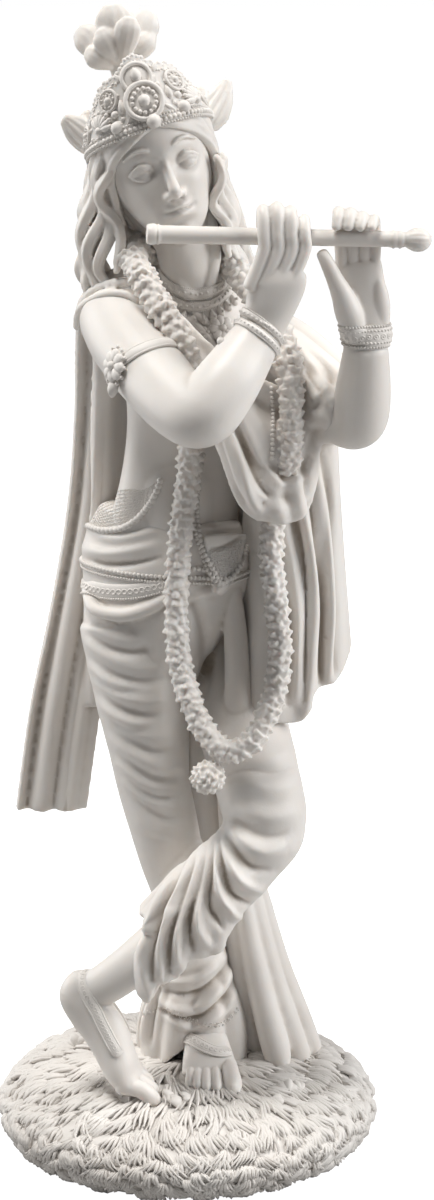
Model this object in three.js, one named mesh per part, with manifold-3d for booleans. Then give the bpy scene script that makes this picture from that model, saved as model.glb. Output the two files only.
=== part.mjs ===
// A white cast statuette of Krishna with crossed legs, playing a flute on a grassy mound.
// Millimetres, +Z up. The origin is the centre of the mound's flat underside, and -Y faces the viewer.
// Two pieces: the figure with its mound, which is one casting, and the flute, a rod held in both hands.
import * as THREE from "three";
import { mergeVertices } from "three/addons/utils/BufferGeometryUtils.js";
import Module from "manifold-3d";

// Driving dimensions
const FIGURE_HEIGHT = 244; // from the grass to the tip of the plume
const MOUND_HEIGHT = 16; // from the underside to the grass between the feet
const MOUND_RADIUS = 44.5; // where the mound is widest
const MOUND_FOOT_RADIUS = 41; // at the underside
const MOUND_WIDEST_HEIGHT = 7.5; // how far up the mound is widest
const FLUTE_LENGTH = 60;
const FLUTE_RADIUS = 1.9; // at the mouth end
const FLUTE_TAPER = 0.25; // how much thinner the far end is
const FLUTE_KNOB_RADIUS = 2.5;
const FLUTE_KNOB_LENGTH = 6.4; // at the far end, with the neck before it
const FLUTE_CAP_LENGTH = 2.8; // at the mouth end
const FLUTE_RING = 0.35; // how far the cap and the ring stand out
const FLUTE_GAP = 0.3; // between the flute and the hands
const GARLAND_RADIUS = 3.5;
const GARLAND_BLOSSOM_PITCH = 10.5; // from one ring of blossom to the next
const SHAWL_THICKNESS = 2.6;

// The figure's points are drawn for a figure 244 mm high on grass that lies 16 mm up.
const DRAWING = { figure: 244, grass: 16 };
const UNIT = FIGURE_HEIGHT / DRAWING.figure;

const wasm = await Module();
wasm.setup();

// A drawn point as a place on the statuette.
function place(x, y, z) {
  return new THREE.Vector3(x * UNIT, y * UNIT, MOUND_HEIGHT + (z - DRAWING.grass) * UNIT);
}

// A smooth curve through rows of numbers, read at t from 0 to 1.
function readAlong(rows, t) {
  const last = rows.length - 1;
  const at = Math.min(Math.max(t, 0), 1) * last;
  const i = Math.min(Math.floor(at), last - 1);
  const f = at - i;
  const row = (k) => rows[Math.min(Math.max(k, 0), last)];
  const [a, b, c, d] = [row(i - 1), row(i), row(i + 1), row(i + 2)];
  return b.map(
    (q, n) =>
      0.5 * (2 * q + (c[n] - a[n]) * f + (2 * a[n] - 5 * q + 4 * c[n] - d[n]) * f * f +
        (3 * q - a[n] - 3 * c[n] + d[n]) * f * f * f),
  );
}

// A closed three.js geometry as a solid that faces outward.
function solidOf(geometry) {
  geometry.deleteAttribute("normal");
  geometry.deleteAttribute("uv");
  const merged = mergeVertices(geometry, 1e-4);
  const triVerts = new Uint32Array(merged.index.array);
  const vertProperties = merged.attributes.position.array;
  const make = () => new wasm.Manifold(new wasm.Mesh({ numProp: 3, vertProperties, triVerts }));
  const made = make();
  if (made.volume() > 0) return made;
  for (let i = 0; i < triVerts.length; i += 3) {
    [triVerts[i], triVerts[i + 1]] = [triVerts[i + 1], triVerts[i]];
  }
  return make();
}

// A limb, lock, tube or trunk: a sphere's rings drawn out along a path.
// A row is x, y, z, half the width, half the depth, and a turn in degrees of the width about the path.
// relief(t, angle) is how far the skin stands out there. side is the way the width points.
function bentForm(rows, { around = 10, rings = 8, side = [1, 0, 0], round = 0.5, relief = () => 0 } = {}) {
  const full = rows.map(([x, y, z, w, d = w, turn = 0]) => [x, y, z, w, d, turn]);
  const geometry = new THREE.SphereGeometry(1, around, rings + 1);
  const position = geometry.attributes.position;
  const centre = (t) => place(...readAlong(full, t).slice(0, 3));
  for (let j = 0; j <= rings + 1; j++) {
    const t = Math.min(Math.max((j - 1) / (rings - 1), 0), 1);
    const [, , , w, d, turn] = readAlong(full, t);
    const axis = centre(Math.min(t + 0.02, 1)).sub(centre(Math.max(t - 0.02, 0))).normalize();
    const across = new THREE.Vector3(...side).addScaledVector(axis, -axis.dot(new THREE.Vector3(...side)));
    across.normalize().applyAxisAngle(axis, THREE.MathUtils.degToRad(turn));
    const deep = new THREE.Vector3().crossVectors(axis, across);
    const end = j === 0 ? -1 : j === rings + 1 ? 1 : 0;
    for (let i = 0; i <= around; i++) {
      const angle = ((i % around) / around) * 2 * Math.PI;
      const out = relief(t, angle);
      const point = centre(t).addScaledVector(axis, end * round * Math.min(w, d) * UNIT);
      if (!end) point.addScaledVector(across, Math.cos(angle) * (w + out) * UNIT);
      if (!end) point.addScaledVector(deep, Math.sin(angle) * (d + out) * UNIT);
      position.setXYZ(j * (around + 1) + i, point.x, point.y, point.z);
    }
  }
  return solidOf(geometry);
}

// An egg-shaped lump: half sizes along x, y and z, rolled about y and then turned about z, in degrees.
function lump([x, y, z], [a, b, c], { roll = 0, turn = 0, detail = 8 } = {}) {
  const geometry = new THREE.SphereGeometry(1, detail, Math.max(4, Math.round(detail * 0.6)));
  geometry.rotateX(Math.PI / 2);
  geometry.scale(a * UNIT, b * UNIT, c * UNIT);
  geometry.rotateY(THREE.MathUtils.degToRad(roll));
  geometry.rotateZ(THREE.MathUtils.degToRad(turn));
  geometry.translate(...place(x, y, z));
  return solidOf(geometry);
}

// A hanging cloth. drawn(u, v) is its middle surface, u across and v down, in drawn millimetres.
function clothForm(drawn, { columns = 16, lines = 10, thickness = SHAWL_THICKNESS } = {}) {
  const geometry = new THREE.BoxGeometry(1, 1, 1, columns, lines, 1);
  const position = geometry.attributes.position;
  const step = 1e-3;
  const at = (u, v) => place(...drawn(u, v));
  for (let i = 0; i < position.count; i++) {
    const u = position.getX(i) + 0.5;
    const v = 0.5 - position.getY(i);
    const acrossCloth = at(u + step, v).sub(at(u - step, v));
    const downCloth = at(u, v + step).sub(at(u, v - step));
    const normal = acrossCloth.cross(downCloth).normalize();
    const point = at(u, v).addScaledVector(normal, position.getZ(i) * thickness);
    position.setXYZ(i, point.x, point.y, point.z);
  }
  return solidOf(geometry);
}

// Folds of cloth: a rounded wave with narrow valleys, from -1 to 1.
function foldWave(turns) {
  const wave = Math.cos(2 * Math.PI * turns);
  return wave > 0 ? Math.sqrt(wave) : wave;
}

// The mound with its tufts of grass
function mound() {
  const around = 24;
  const crown = MOUND_HEIGHT - MOUND_WIDEST_HEIGHT;
  const shape = [
    [0, 0],
    [MOUND_FOOT_RADIUS, 0],
    [MOUND_RADIUS - 0.4, MOUND_WIDEST_HEIGHT * 0.45],
    [MOUND_RADIUS, MOUND_WIDEST_HEIGHT],
    [MOUND_RADIUS * 0.94, MOUND_WIDEST_HEIGHT + crown * 0.46],
    [MOUND_RADIUS * 0.78, MOUND_WIDEST_HEIGHT + crown * 0.74],
    [MOUND_RADIUS * 0.5, MOUND_WIDEST_HEIGHT + crown * 0.93],
    [0, MOUND_HEIGHT],
  ];
  const geometry = new THREE.LatheGeometry(shape.map(([r, z]) => new THREE.Vector2(r, z)), around);
  geometry.rotateX(Math.PI / 2);
  const position = geometry.attributes.position;
  const tuft = 1.1;
  for (let i = 0; i < position.count; i++) {
    const ring = i % shape.length;
    const spoke = Math.floor(i / shape.length) % around;
    const onGrass = ring > 1 && ring < shape.length - 1;
    const out = onGrass ? 1 + (((spoke * 7 + ring * 3) % 5) - 3.2) * 0.2 * tuft / MOUND_RADIUS : 1;
    const up = onGrass ? (((spoke * 3 + ring * 5) % 4) - 2.4) * 0.25 * tuft : 0;
    position.setXYZ(i, position.getX(i) * out, position.getY(i) * out, position.getZ(i) + up);
  }
  return solidOf(geometry);
}

// The bare trunk, turned a little towards the flute, and the neck
function trunk() {
  return [
    bentForm(
      [
        [-4.2, 3.5, 112, 19, 11, 12], [-4.4, 3.5, 124.5, 20.4, 12, 14], [-3.6, 3.5, 137, 17.8, 11, 16],
        [-2, 3.5, 149, 14.4, 9.6, 18], [-0.8, 3.5, 160, 13.4, 9.2, 20], [1.6, 3.5, 171, 15.6, 10.2, 22],
        [2.6, 4, 181, 17, 10.6, 23], [2.8, 5, 190, 16, 8.4, 23], [2.8, 4, 197, 8, 6, 20],
      ],
      { around: 11, rings: 7, round: 0.3 },
    ),
    bentForm([[2.6, 4, 194, 7.6, 7], [0.8, 1.5, 205, 6.4], [-2, 0.5, 216, 6.6]], { around: 8, rings: 3 }),
  ];
}

// The near arm crosses the chest, and the far arm is lifted.
function arms() {
  const nearArm = [
    [-15.5, -1.5, 192.5, 8], [-12.5, -9, 188.5, 8.2], [-6.6, -20.5, 182.8, 7.9], [-0.6, -30.4, 178.2, 7.5],
    [4, -34.6, 177.4, 7.4], [8.6, -32.6, 182.8, 7], [12.6, -29, 188.2, 6], [16.4, -26, 193.8, 4.9],
  ];
  const farArm = [
    [20.5, 13, 189, 7.8], [25, 6, 185.5, 7.6], [30.5, -4, 179.5, 7.2], [35.4, -12, 173.4, 7],
    [37, -14.6, 173.4, 6.9], [37.8, -17.4, 179.4, 6.6], [38.6, -20.4, 188.6, 4.8],
  ];
  return [bentForm(nearArm, { around: 8, rings: 7 }), bentForm(farArm, { around: 8, rings: 6 })];
}

// The flute lies along +X. Its mouth end is a little nearer the viewer and a little higher.
const FLUTE_MIDDLE = [22.2, -26, 213.2];
const FLUTE_AT = place(...FLUTE_MIDDLE);
const FLUTE_TURN = THREE.MathUtils.degToRad(4);
const FLUTE_DROP = THREE.MathUtils.degToRad(1.7);

// The flute's lathe shape, with its skin moved out by grow
function fluteShape(grow) {
  const cap = FLUTE_CAP_LENGTH;
  const knob = FLUTE_KNOB_RADIUS;
  const far = FLUTE_RADIUS - FLUTE_TAPER;
  const neck = FLUTE_LENGTH - FLUTE_KNOB_LENGTH;
  const onKnob = (share) => neck + FLUTE_KNOB_LENGTH * share;
  const profile = [
    [0, 0], [FLUTE_RADIUS * 0.9, 0], [FLUTE_RADIUS + FLUTE_RING, cap * 0.3],
    [FLUTE_RADIUS + FLUTE_RING, cap * 0.7], [FLUTE_RADIUS, cap],
    [far, onKnob(-0.32)], [far + FLUTE_RING, onKnob(-0.16)], [far, neck],
    [knob * 0.9, onKnob(0.32)], [knob, onKnob(0.56)], [knob * 0.8, onKnob(0.86)], [0, FLUTE_LENGTH],
  ];
  const points = profile.map(([r, s]) => new THREE.Vector2(r && r + grow, s));
  points[0].y -= grow;
  points[1].y -= grow;
  points[points.length - 1].y += grow;
  const geometry = new THREE.LatheGeometry(points, 10);
  geometry.translate(0, -FLUTE_LENGTH / 2, 0);
  geometry.rotateZ(-Math.PI / 2);
  geometry.rotateY(FLUTE_DROP);
  geometry.rotateZ(FLUTE_TURN);
  geometry.translate(...FLUTE_AT);
  return geometry;
}

// A point beside the flute, in drawn millimetres: how far right of its middle, how far in front and above
function byFlute(along, front, above) {
  const clear = (FLUTE_RADIUS + FLUTE_GAP) / UNIT;
  const reach = (q) => (q === 0 ? 0 : q + Math.sign(q) * clear);
  const [x, y, z] = FLUTE_MIDDLE;
  return [
    x + along * Math.cos(FLUTE_TURN) + reach(front) * Math.sin(FLUTE_TURN),
    y + along * Math.sin(FLUTE_TURN) - reach(front) * Math.cos(FLUTE_TURN),
    z - along * Math.tan(FLUTE_DROP) + reach(above),
  ];
}

// The near hand lays four fingers over the flute from the front, and the far hand from behind.
// The thumbs are below it.
function hands() {
  const fingerRadius = 1.3;
  const forms = [
    bentForm([[16.6, -26, 193, 4.6, 3.8], [18.6, -27.4, 199.4, 5.2, 3.4], [20, -28.8, 205.4, 5.7, 2.8]],
      { around: 7, rings: 4 }),
    bentForm([[38.8, -20.6, 188, 4.6, 3.8], [38.4, -20.8, 195, 5.2, 3.4], [37, -21, 202.6, 5.2, 2.8],
      [36.4, -21.4, 206.4, 5, 2.2]], { around: 7, rings: 4 }),
  ];
  for (let n = 0; n < 4; n++) {
    const along = -5.8 + 2.85 * n;
    const tall = [1.3, 1.6, 1, -0.2][n];
    const near = byFlute(along, fingerRadius * 0.7, -0.6);
    const top = byFlute(along, fingerRadius * 0.3, fingerRadius + tall);
    const over = byFlute(along, -0.6, fingerRadius * 0.9 + tall * 0.4);
    forms.push(bentForm([[19 + along * 0.9, -29.2, 203.8, fingerRadius * 1.1], [...near, fingerRadius],
      [...top, fingerRadius], [...over, fingerRadius * 0.8]], { around: 5, rings: 4 }));
    const farAlong = 10.4 + 2.5 * n;
    const behind = byFlute(farAlong + 0.8, -fingerRadius * 0.8, -0.6);
    const above = byFlute(farAlong - 0.4, -0.4, fingerRadius + 1.6);
    const tip = byFlute(farAlong - 1.8, 0.5, fingerRadius * 0.9 + 0.2);
    forms.push(bentForm([[33 + 2.1 * n, -21.2, 204.4, fingerRadius * 1.1], [...behind, fingerRadius],
      [...above, fingerRadius * 0.9], [...tip, fingerRadius * 0.75]], { around: 5, rings: 4 }));
  }
  const underNear = byFlute(-2, -1.6, -1.4);
  const underFar = byFlute(7.2, 0.4, -1.6);
  forms.push(bentForm([[16, -25.4, 198, 2], [...underNear, 1.5]], { around: 5, rings: 3 }));
  forms.push(bentForm([[35.4, -22.4, 197, 2.2], [32.4, -25, 203.4, 1.8], [...underFar, 1.4]],
    { around: 5, rings: 4 }));
  return forms;
}

// The head tilts towards the near shoulder.
const HEAD_AT = [-6.4, -0.5, 227.5];
const HEAD_ROLL = -17;
const HEAD_TURN = 10;

// A point on the head, from x across the face, y back and z up
function onHead(x, y, z) {
  const turned = new THREE.Vector3(x, y, z);
  turned.applyAxisAngle(new THREE.Vector3(0, 0, 1), THREE.MathUtils.degToRad(HEAD_TURN));
  turned.applyAxisAngle(new THREE.Vector3(0, 1, 0), THREE.MathUtils.degToRad(HEAD_ROLL));
  return [HEAD_AT[0] + turned.x, HEAD_AT[1] + turned.y, HEAD_AT[2] + turned.z];
}

function headRow(x, y, z, ...sizes) {
  return [...onHead(x, y, z), ...sizes];
}

function head() {
  const set = { roll: HEAD_ROLL, turn: HEAD_TURN, detail: 6 };
  return [
    bentForm(
      [
        headRow(0, -7, -17, 3.2, 3.6), headRow(0, -5.4, -14, 6.4, 7.4), headRow(0, -3.2, -8.5, 9.6, 10.8),
        headRow(0, -1.4, -2, 11.4, 12.8), headRow(0, 0, 5, 11.8, 13.4), headRow(0, 0.5, 11, 9.6, 11.5),
      ],
      { around: 12, rings: 8, round: 0.4 },
    ),
    bentForm(
      [headRow(0, -13, -1.5, 1.1, 1.2), headRow(0, -15.2, -7.6, 1.6, 1.6), headRow(0, -14.4, -9, 2, 1.4)],
      { around: 5, rings: 3 },
    ),
    lump(onHead(0.2, -12.6, -12.2), [3.2, 1.5, 1.2], set),
    lump(onHead(0, -11, -16), [3, 2.2, 2.1], set),
    ...[-1, 1].map((sign) => lump(onHead(4.6 * sign, -11.2, -2.6), [2.6, 1.7, 1.4], set)),
  ];
}

// Hair falls in locks to both shoulders and down the back.
function hair() {
  const forms = [
    bentForm(
      [
        headRow(0, 4, -14, 10, 7), headRow(0, 3.5, -3, 12.6, 11), headRow(0, 2.5, 6, 11.8, 11.8),
        headRow(0, 1.5, 12, 6.6, 8),
      ],
      { around: 10, rings: 4 },
    ),
    bentForm(
      [headRow(0, 10, 2, 9, 4), headRow(0, 12, -10, 10.4, 3.6), [-3, 14, 206, 11, 3], [-1, 15, 192, 9, 1.8]],
      { around: 12, rings: 4, relief: (t, angle) => 0.7 * Math.cos(angle * 6) },
    ),
  ];
  for (let n = 0; n < 2; n++) {
    const back = n * 5;
    forms.push(bentForm([headRow(-11.4, -1 + back, 2, 2, 3), headRow(-13.4, back, -7, 2.8, 3.6),
      [-18, 1 + back, 213, 3, 3.6], [-19.4 + n, 2 + back, 203.6, 3.4, 3.6],
      [-18.4 + n * 3, 5 + back * 0.6, 194.6, 2.4, 3]], { around: 6, rings: 5 }));
    forms.push(bentForm([headRow(11.2, back, 2, 1.8, 3), headRow(11.8, 1 + back, -8, 2.4, 3.4),
      [6.8, 4 + back, 214, 2.6, 3.4], [9.8 - n, 6 + back * 0.6, 204, 2.8, 3],
      [12.6 - n * 3, 8 + back * 0.5, 194, 2, 2.4]], { around: 5, rings: 5 }));
  }
  return forms;
}

// The crown is a gabled band with rosettes, a fan at each side and a plume of feather lobes.
function crown() {
  const band = (u, v) => {
    const spread = (u - 0.5) * 2;
    const angle = THREE.MathUtils.degToRad(-90 + spread * 104);
    const rim = 7.4 - 4.6 * spread * spread;
    const rise = 5 + 9 * Math.max(0, 1 - Math.abs(spread)) ** 1.3;
    const lean = 1 - 0.3 * (1 - v) * (rise / 14);
    return onHead(13.6 * lean * Math.cos(angle), 13.8 * lean * Math.sin(angle), rim + rise * (1 - v));
  };
  const forms = [clothForm(band, { columns: 10, lines: 2, thickness: 2.4 })];
  const rosettes = [[0, 0.55, 3.2], [0, 0.06, 2.2], [-0.26, 0.5, 2.3], [0.26, 0.5, 2.3], [-0.55, 0.5, 1.9],
    [0.55, 0.5, 1.9]];
  for (const [spread, drop, size] of rosettes) {
    forms.push(lump(band(0.5 + spread / 2, drop), [size, size * 0.8, size], { roll: HEAD_ROLL, detail: 6 }));
  }
  const fans = [
    [[-17, 1, 228.6], [-21.6, 2.6, 231.6], [-26, 4, 234.8]],
    [[4.6, 2, 232], [7.4, 4, 236.4], [9.8, 6, 242.4]],
  ];
  for (const [low, mid, tip] of fans) {
    forms.push(bentForm([[...low, 4, 1.8], [...mid, 3.4, 1.6], [...tip, 0.7, 0.7]], { around: 6, rings: 3 }));
  }
  const lobes = 4;
  const plume = (u, v) => {
    const lobe = Math.abs(Math.sin(Math.PI * lobes * u));
    const spread = THREE.MathUtils.degToRad(-60 + 120 * u);
    const reach = 3 + (8.6 + 4.6 * Math.sqrt(lobe)) * (1 - v);
    const width = 0.8 + 0.1 * Math.cos(spread);
    return [-13.6 + width * reach * Math.sin(spread), 1.4 - 0.5 * lobe,
      243 + reach * Math.cos(spread) * 0.98];
  };
  forms.push(clothForm(plume, { columns: lobes * 4, lines: 1, thickness: 3 }));
  forms.push(bentForm([[-12.6, 1.6, 238, 4, 3], [-13.2, 1.6, 247, 3, 2.2]], { around: 6, rings: 2 }));
  return forms;
}

// Where the folds of the dhoti lie along a leg: narrow ridges a fold apart.
function legFolds(count, height) {
  return (t, angle) => height * foldWave(count * t + 0.12 * Math.sin(angle)) * (0.6 + 0.4 * Math.sin(-angle));
}

function dhoti() {
  const standing = [
    [-12, 3.5, 122, 12.4, 12], [-10.8, 2, 112, 11.6, 11.4], [-9.8, 1, 103, 10.6, 10.8],
    [-8.7, 0, 94, 9.4, 9.8], [-7.6, -0.5, 84.6, 8.4, 9], [-5.4, -1, 75, 7.9, 8.4],
    [-3.4, 0, 66, 7.4, 8], [-1.2, 1.5, 57, 6.8, 7.6], [0.6, 3, 47, 7, 7.6],
    [2.2, 4.4, 37, 8.6, 8], [3, 4.8, 29, 10.4, 8.6], [3, 7, 18, 11.6, 9],
  ];
  const thigh = [
    [5.6, 5, 121, 11.6, 11.6], [8.6, 0, 110, 11.4, 11.4], [12.4, -5.4, 98.5, 10.6, 10.6],
    [16.2, -10.4, 88, 9.8, 9.8], [18.2, -12.8, 80, 9.2, 9.2], [18.4, -13.2, 75, 7, 7.6],
  ];
  const shin = [
    [20.4, -12, 85, 6, 6.4], [18.2, -13.6, 78.6, 9, 9], [14.4, -15.4, 71.8, 9.2, 9.4],
    [8.6, -16.6, 66, 9.2, 9.6], [2, -17.4, 60, 9, 9.6], [-4, -17.8, 54.4, 8.4, 9],
    [-8.6, -18, 50, 7.6, 8.2],
  ];
  return [
    bentForm(standing, { around: 10, rings: 15, relief: legFolds(7, 0.75), round: 0.1 }),
    bentForm(thigh, { around: 9, rings: 5, relief: legFolds(2, 0.5), round: 0.3 }),
    bentForm(shin, { around: 14, rings: 6, side: [0, -1, 0], round: 0.1,
      relief: (t, angle) => 0.7 * foldWave(t * 1.4 + (angle / (2 * Math.PI)) * 7) * t }),
    bentForm([[-4, -20.6, 54, 4, 3], [-7.8, -21.8, 47, 3, 2], [-8.8, -22, 42.4, 1.4, 1.2]],
      { around: 5, rings: 3 }),
  ];
}

// The belt round the hips
function belts() {
  const hip = (t, z, dip, out) => {
    const angle = Math.PI * (1 + t);
    const turn = THREE.MathUtils.degToRad(14);
    const [x, y] = [20.6 * out * Math.cos(angle), 12 * out * Math.sin(angle)];
    return [-4.2 + x * Math.cos(turn) - y * Math.sin(turn), 3.5 + x * Math.sin(turn) + y * Math.cos(turn),
      z - dip * Math.sin(Math.PI * t)];
  };
  const rows = (z, dip, out) => Array.from({ length: 9 }, (_, n) => [...hip(n / 8, z, dip, out), 1.6, 1.1]);
  return [
    bentForm(rows(147, 5, 0.89), { around: 4, rings: 8, side: [0, 0, 1] }),
    bentForm(rows(130, 1.4, 1), { around: 4, rings: 7, side: [0, 0, 1] }),
  ];
}

// A foot from heel to toes, each row with half its breadth and half its height.
// Five toes fan out across the ball.
function foot([heel, instep, ball, toes], acrossFoot) {
  const forms = [bentForm([heel, instep, ball], { around: 8, rings: 5, side: acrossFoot })];
  for (let n = 0; n < 5; n++) {
    const apart = (2 - n) * 2.3;
    const size = n === 0 ? 1.8 : 1.3;
    const reach = [1, 1, 0.92, 0.82, 0.68][n];
    const spread = (point, share) => point.map((q, k) => q + acrossFoot[k] * apart * share);
    const root = spread(ball.slice(0, 3), 0.85);
    const tip = spread(ball.slice(0, 3).map((q, k) => q + (toes[k] - q) * reach), 1);
    const toe = { around: 5, rings: 2, side: acrossFoot, round: 0.8 };
    forms.push(bentForm([[...root, size], [...tip, size * 0.9]], toe));
  }
  return forms;
}

function legsAndFeet() {
  const bareShin = [
    [0, -17, 57.4, 6, 6], [-9, -17.4, 51.4, 5.6, 5.8], [-16, -17, 46.8, 5.1, 5.4], [-21, -16, 42.4, 4.6, 5.4],
    [-23.6, -15.4, 39.6, 4, 4.4],
  ];
  const crossedFoot = [
    [-24.2, -15, 41.4, 4.1, 4.4], [-20.4, -17.4, 33.4, 4.6, 6], [-15.4, -19.6, 23.6, 5.6, 4.4],
    [-9.6, -21.4, 18.6],
  ];
  const standingFoot = [
    [4.6, 7, 20, 4.4, 4], [4.8, -3, 21, 4.8, 3.8], [5.2, -10.4, 18.8, 6, 2.8], [5.6, -16.6, 17.2],
  ];
  const standingAnklet = [[0.2, 1, 24.6], [1.4, -6.4, 24], [8.4, -6.2, 24], [10, 1, 24.4]];
  const crossedAnklet = [[-26.4, -18.4, 43], [-23, -21.8, 36.4], [-19, -23, 30.6], [-15, -22.4, 26.4]];
  const anklet = (line, breadth, thickness, side) =>
    bentForm(line.map((row) => [...row, breadth, thickness]), { around: 4, rings: 4, side });
  return [
    bentForm(bareShin, { around: 8, rings: 5, side: [0, -1, 0] }),
    ...foot(crossedFoot, [0.1, -0.99, 0]),
    ...foot(standingFoot, [0.99, 0.1, 0]),
    anklet(standingAnklet, 2, 1.1, [0, 0, 1]),
    anklet(crossedAnklet, 1.6, 0.9, [-0.8, 0, -0.6]),
  ];
}

// The garland: a thick rope of blossom from the neck to the thighs, with one hanging flower
const GARLAND_LINE = [
  [2, 12, 203], [-8, 5, 205.5], [-12, -3.6, 204.4], [-9.4, -11.4, 199.2], [-5.2, -14.6, 191.8],
  [-1, -15.4, 184.6], [2, -13.6, 177], [1.4, -10.4, 167], [0.6, -9.8, 157], [-0.9, -10.4, 147],
  [-1.8, -11.6, 136], [-2, -12.4, 126.4], [-1.2, -13, 116.8], [1.4, -15.2, 108], [5.2, -17.4, 101],
  [10, -19.8, 98.2], [14.6, -19.6, 100.4], [18, -17, 105.8], [20.4, -14.6, 113], [21, -13, 121.8],
  [20, -12, 131], [19, -11, 140.6], [19.8, -9.6, 151], [21.8, -8.6, 161], [22.8, -8, 171.6],
  [21.6, -7, 182], [18, -5.6, 191.6], [13, -3, 199], [9.6, 3, 203.6], [6, 10, 204],
];

function garland() {
  const line = GARLAND_LINE.map((row) => place(...row));
  const length = new THREE.CatmullRomCurve3(line, false, "catmullrom").getLength();
  const blossoms = Math.round(length / GARLAND_BLOSSOM_PITCH);
  const rope = bentForm(GARLAND_LINE.map((row) => [...row, GARLAND_RADIUS / UNIT]), {
    around: 5,
    rings: blossoms * 2,
    relief: (t, angle) => {
      const step = Math.round(t * (blossoms * 2 - 1));
      return (step % 2 ? 0.7 : -0.5) + 0.4 * Math.cos(angle * 2 + step * 1.6);
    },
  });
  const flower = 6;
  const middle = [5, -19.6, 92.3];
  const forms = [rope, lump(middle, [4, 3.8, 4], { detail: 8 })];
  for (let n = 0; n < flower; n++) {
    const angle = (n / flower) * 2 * Math.PI;
    const [x, y, z] = middle;
    const tip = [x + 4.9 * Math.cos(angle), y - 1.6 * (n % 2), z + 4.9 * Math.sin(angle)];
    const petal = { around: 4, rings: 2, side: [0, 1, 0] };
    forms.push(bentForm([[...middle, 1.6, 1.6], [...tip, 0.9, 0.9]], petal));
  }
  return forms;
}

// Necklace, armlet and bracelets
function jewellery() {
  const collar = Array.from({ length: 9 }, (_, n) => {
    const angle = Math.PI * (1.02 + 0.96 * (n / 8));
    const [x, y] = [3 + 10 * Math.cos(angle), 3.4 + 9.4 * Math.sin(angle)];
    return [x, y, 199.4 - 3 * Math.sin((Math.PI * n) / 8), 2.6, 1.1];
  });
  const cuff = (from, to, radius) =>
    bentForm([[...from, radius], [...to, radius]], { around: 8, rings: 2, round: 0 });
  return [
    bentForm(collar, { around: 4, rings: 8, side: [0, 0, 1] }),
    lump([4, -9, 191.4], [2.6, 1.6, 2.6], { detail: 6 }),
    cuff([-9.4, -15.4, 185.2], [-7.6, -18.8, 183.6], 9),
    lump([-15.4, -15, 181.4], [3.4, 3.2, 4], { detail: 6 }),
    cuff([14.8, -27.4, 191.2], [16.2, -26.4, 193.6], 6),
    cuff([38.5, -19.8, 186.6], [38.8, -20.6, 189.4], 5.9),
  ];
}

// The shawl: a long end behind the near side, a cape on the back, a swag below the near forearm,
// the hanging folds on the far side, and a train that reaches the ground
function shawl() {
  const mix = (a, b, t) => a.map((q, n) => q + (b[n] - q) * t);
  const longEnd = (u, v) => {
    const outer = readAlong([
      [-22, -1, 196], [-24.4, 9, 188], [-25.4, 15, 168], [-27.4, 18, 146], [-31.6, 19.4, 122],
      [-37, 19.6, 97], [-40.6, 19.6, 72],
    ], v);
    const inner = readAlong([
      [-10, 3, 198.6], [-10, 13, 192], [-10, 16, 170], [-12, 17.6, 147], [-17, 18.6, 124],
      [-21, 18.6, 98], [-24.8, 18.6, 72],
    ], v);
    const [x, y, z] = mix(outer, inner, u);
    return [x, y - 1.5 * foldWave(2.6 * u + 0.1) * Math.min(1, v * 2), z];
  };
  const cape = (u, v) => {
    const top = readAlong([[-20, 4, 195], [-8, 11, 196], [4, 13, 195], [16, 14, 193], [26, 12, 189]], u);
    const foot = readAlong([[-23, 17, 98], [-10, 19.4, 98], [4, 20, 99], [20, 18, 102], [33, 12, 112]], u);
    const [x, y, z] = mix(top, foot, v);
    return [x, y + 3.4 * Math.sin(Math.PI * v) * Math.sin(Math.PI * u) + 1.3 * foldWave(5 * u) * v, z];
  };
  const farSide = (u, v) => {
    const top = readAlong([[13, -2, 148], [20, -5, 158], [27, -4, 170], [33, 0, 179], [34.8, 8, 181]], u);
    const foot = readAlong([
      [6, -4, 104.4], [15, -10.5, 102.6], [26, -8, 101.6], [28.4, -5, 107.6], [33.6, -1, 109.6],
      [36.8, 7, 115.6],
    ], u);
    const [x, y, z] = mix(top, foot, v);
    const fold = 1.3 * foldWave(4 * u + 0.3) * (0.35 + 0.65 * v);
    return [x + fold * 0.4 * u, y - fold, z];
  };
  const swag = (u, v) => {
    const upper = readAlong([
      [-1, -12.6, 195], [9, -16, 180], [15, -16.4, 168], [20, -14.6, 163], [24, -11.6, 165],
      [25.4, -6, 175], [25, 4, 187],
    ], u);
    const lower = readAlong([
      [-6, -10.6, 191], [6.6, -16.6, 168], [12, -18.4, 153.6], [19.6, -18, 149.4], [25.8, -15, 150.6],
      [28.6, -9, 161], [30, 0, 177],
    ], u);
    const [x, y, z] = mix(upper, lower, v);
    return [x, y - 1.7 * Math.sin(Math.PI * v) - 0.8 * foldWave(2.5 * v), z];
  };
  const train = (u, v) => {
    const top = readAlong([[-8, 13, 112], [0, 15, 112], [6, 14, 112], [11, 12, 112]], u);
    const foot = readAlong([[-4, 16, 15], [6, 17, 15], [18, 12, 15], [30, 9, 15]], u);
    const [x, y, z] = mix(top, foot, v);
    return [x - 5.6 * Math.sin(Math.PI * v) * u, y - 2.4 * foldWave(3 * u + 0.4) * v, z];
  };
  const footOfTrain = (u, v) => {
    const top = readAlong([[10.6, 5, 60], [13, 5, 60], [15, 8, 60]], u);
    const foot = readAlong([[13.6, 2, 15], [19, -1.6, 15], [25, 6, 15]], u);
    return mix(top, foot, v);
  };
  return [
    clothForm(longEnd, { columns: 6, lines: 5 }),
    clothForm(cape, { columns: 8, lines: 3 }),
    clothForm(farSide, { columns: 8, lines: 3 }),
    clothForm(swag, { columns: 6, lines: 4 }),
    clothForm(train, { columns: 6, lines: 3, thickness: 4 }),
    clothForm(footOfTrain, { columns: 2, lines: 2, thickness: 5 }),
  ];
}

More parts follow.
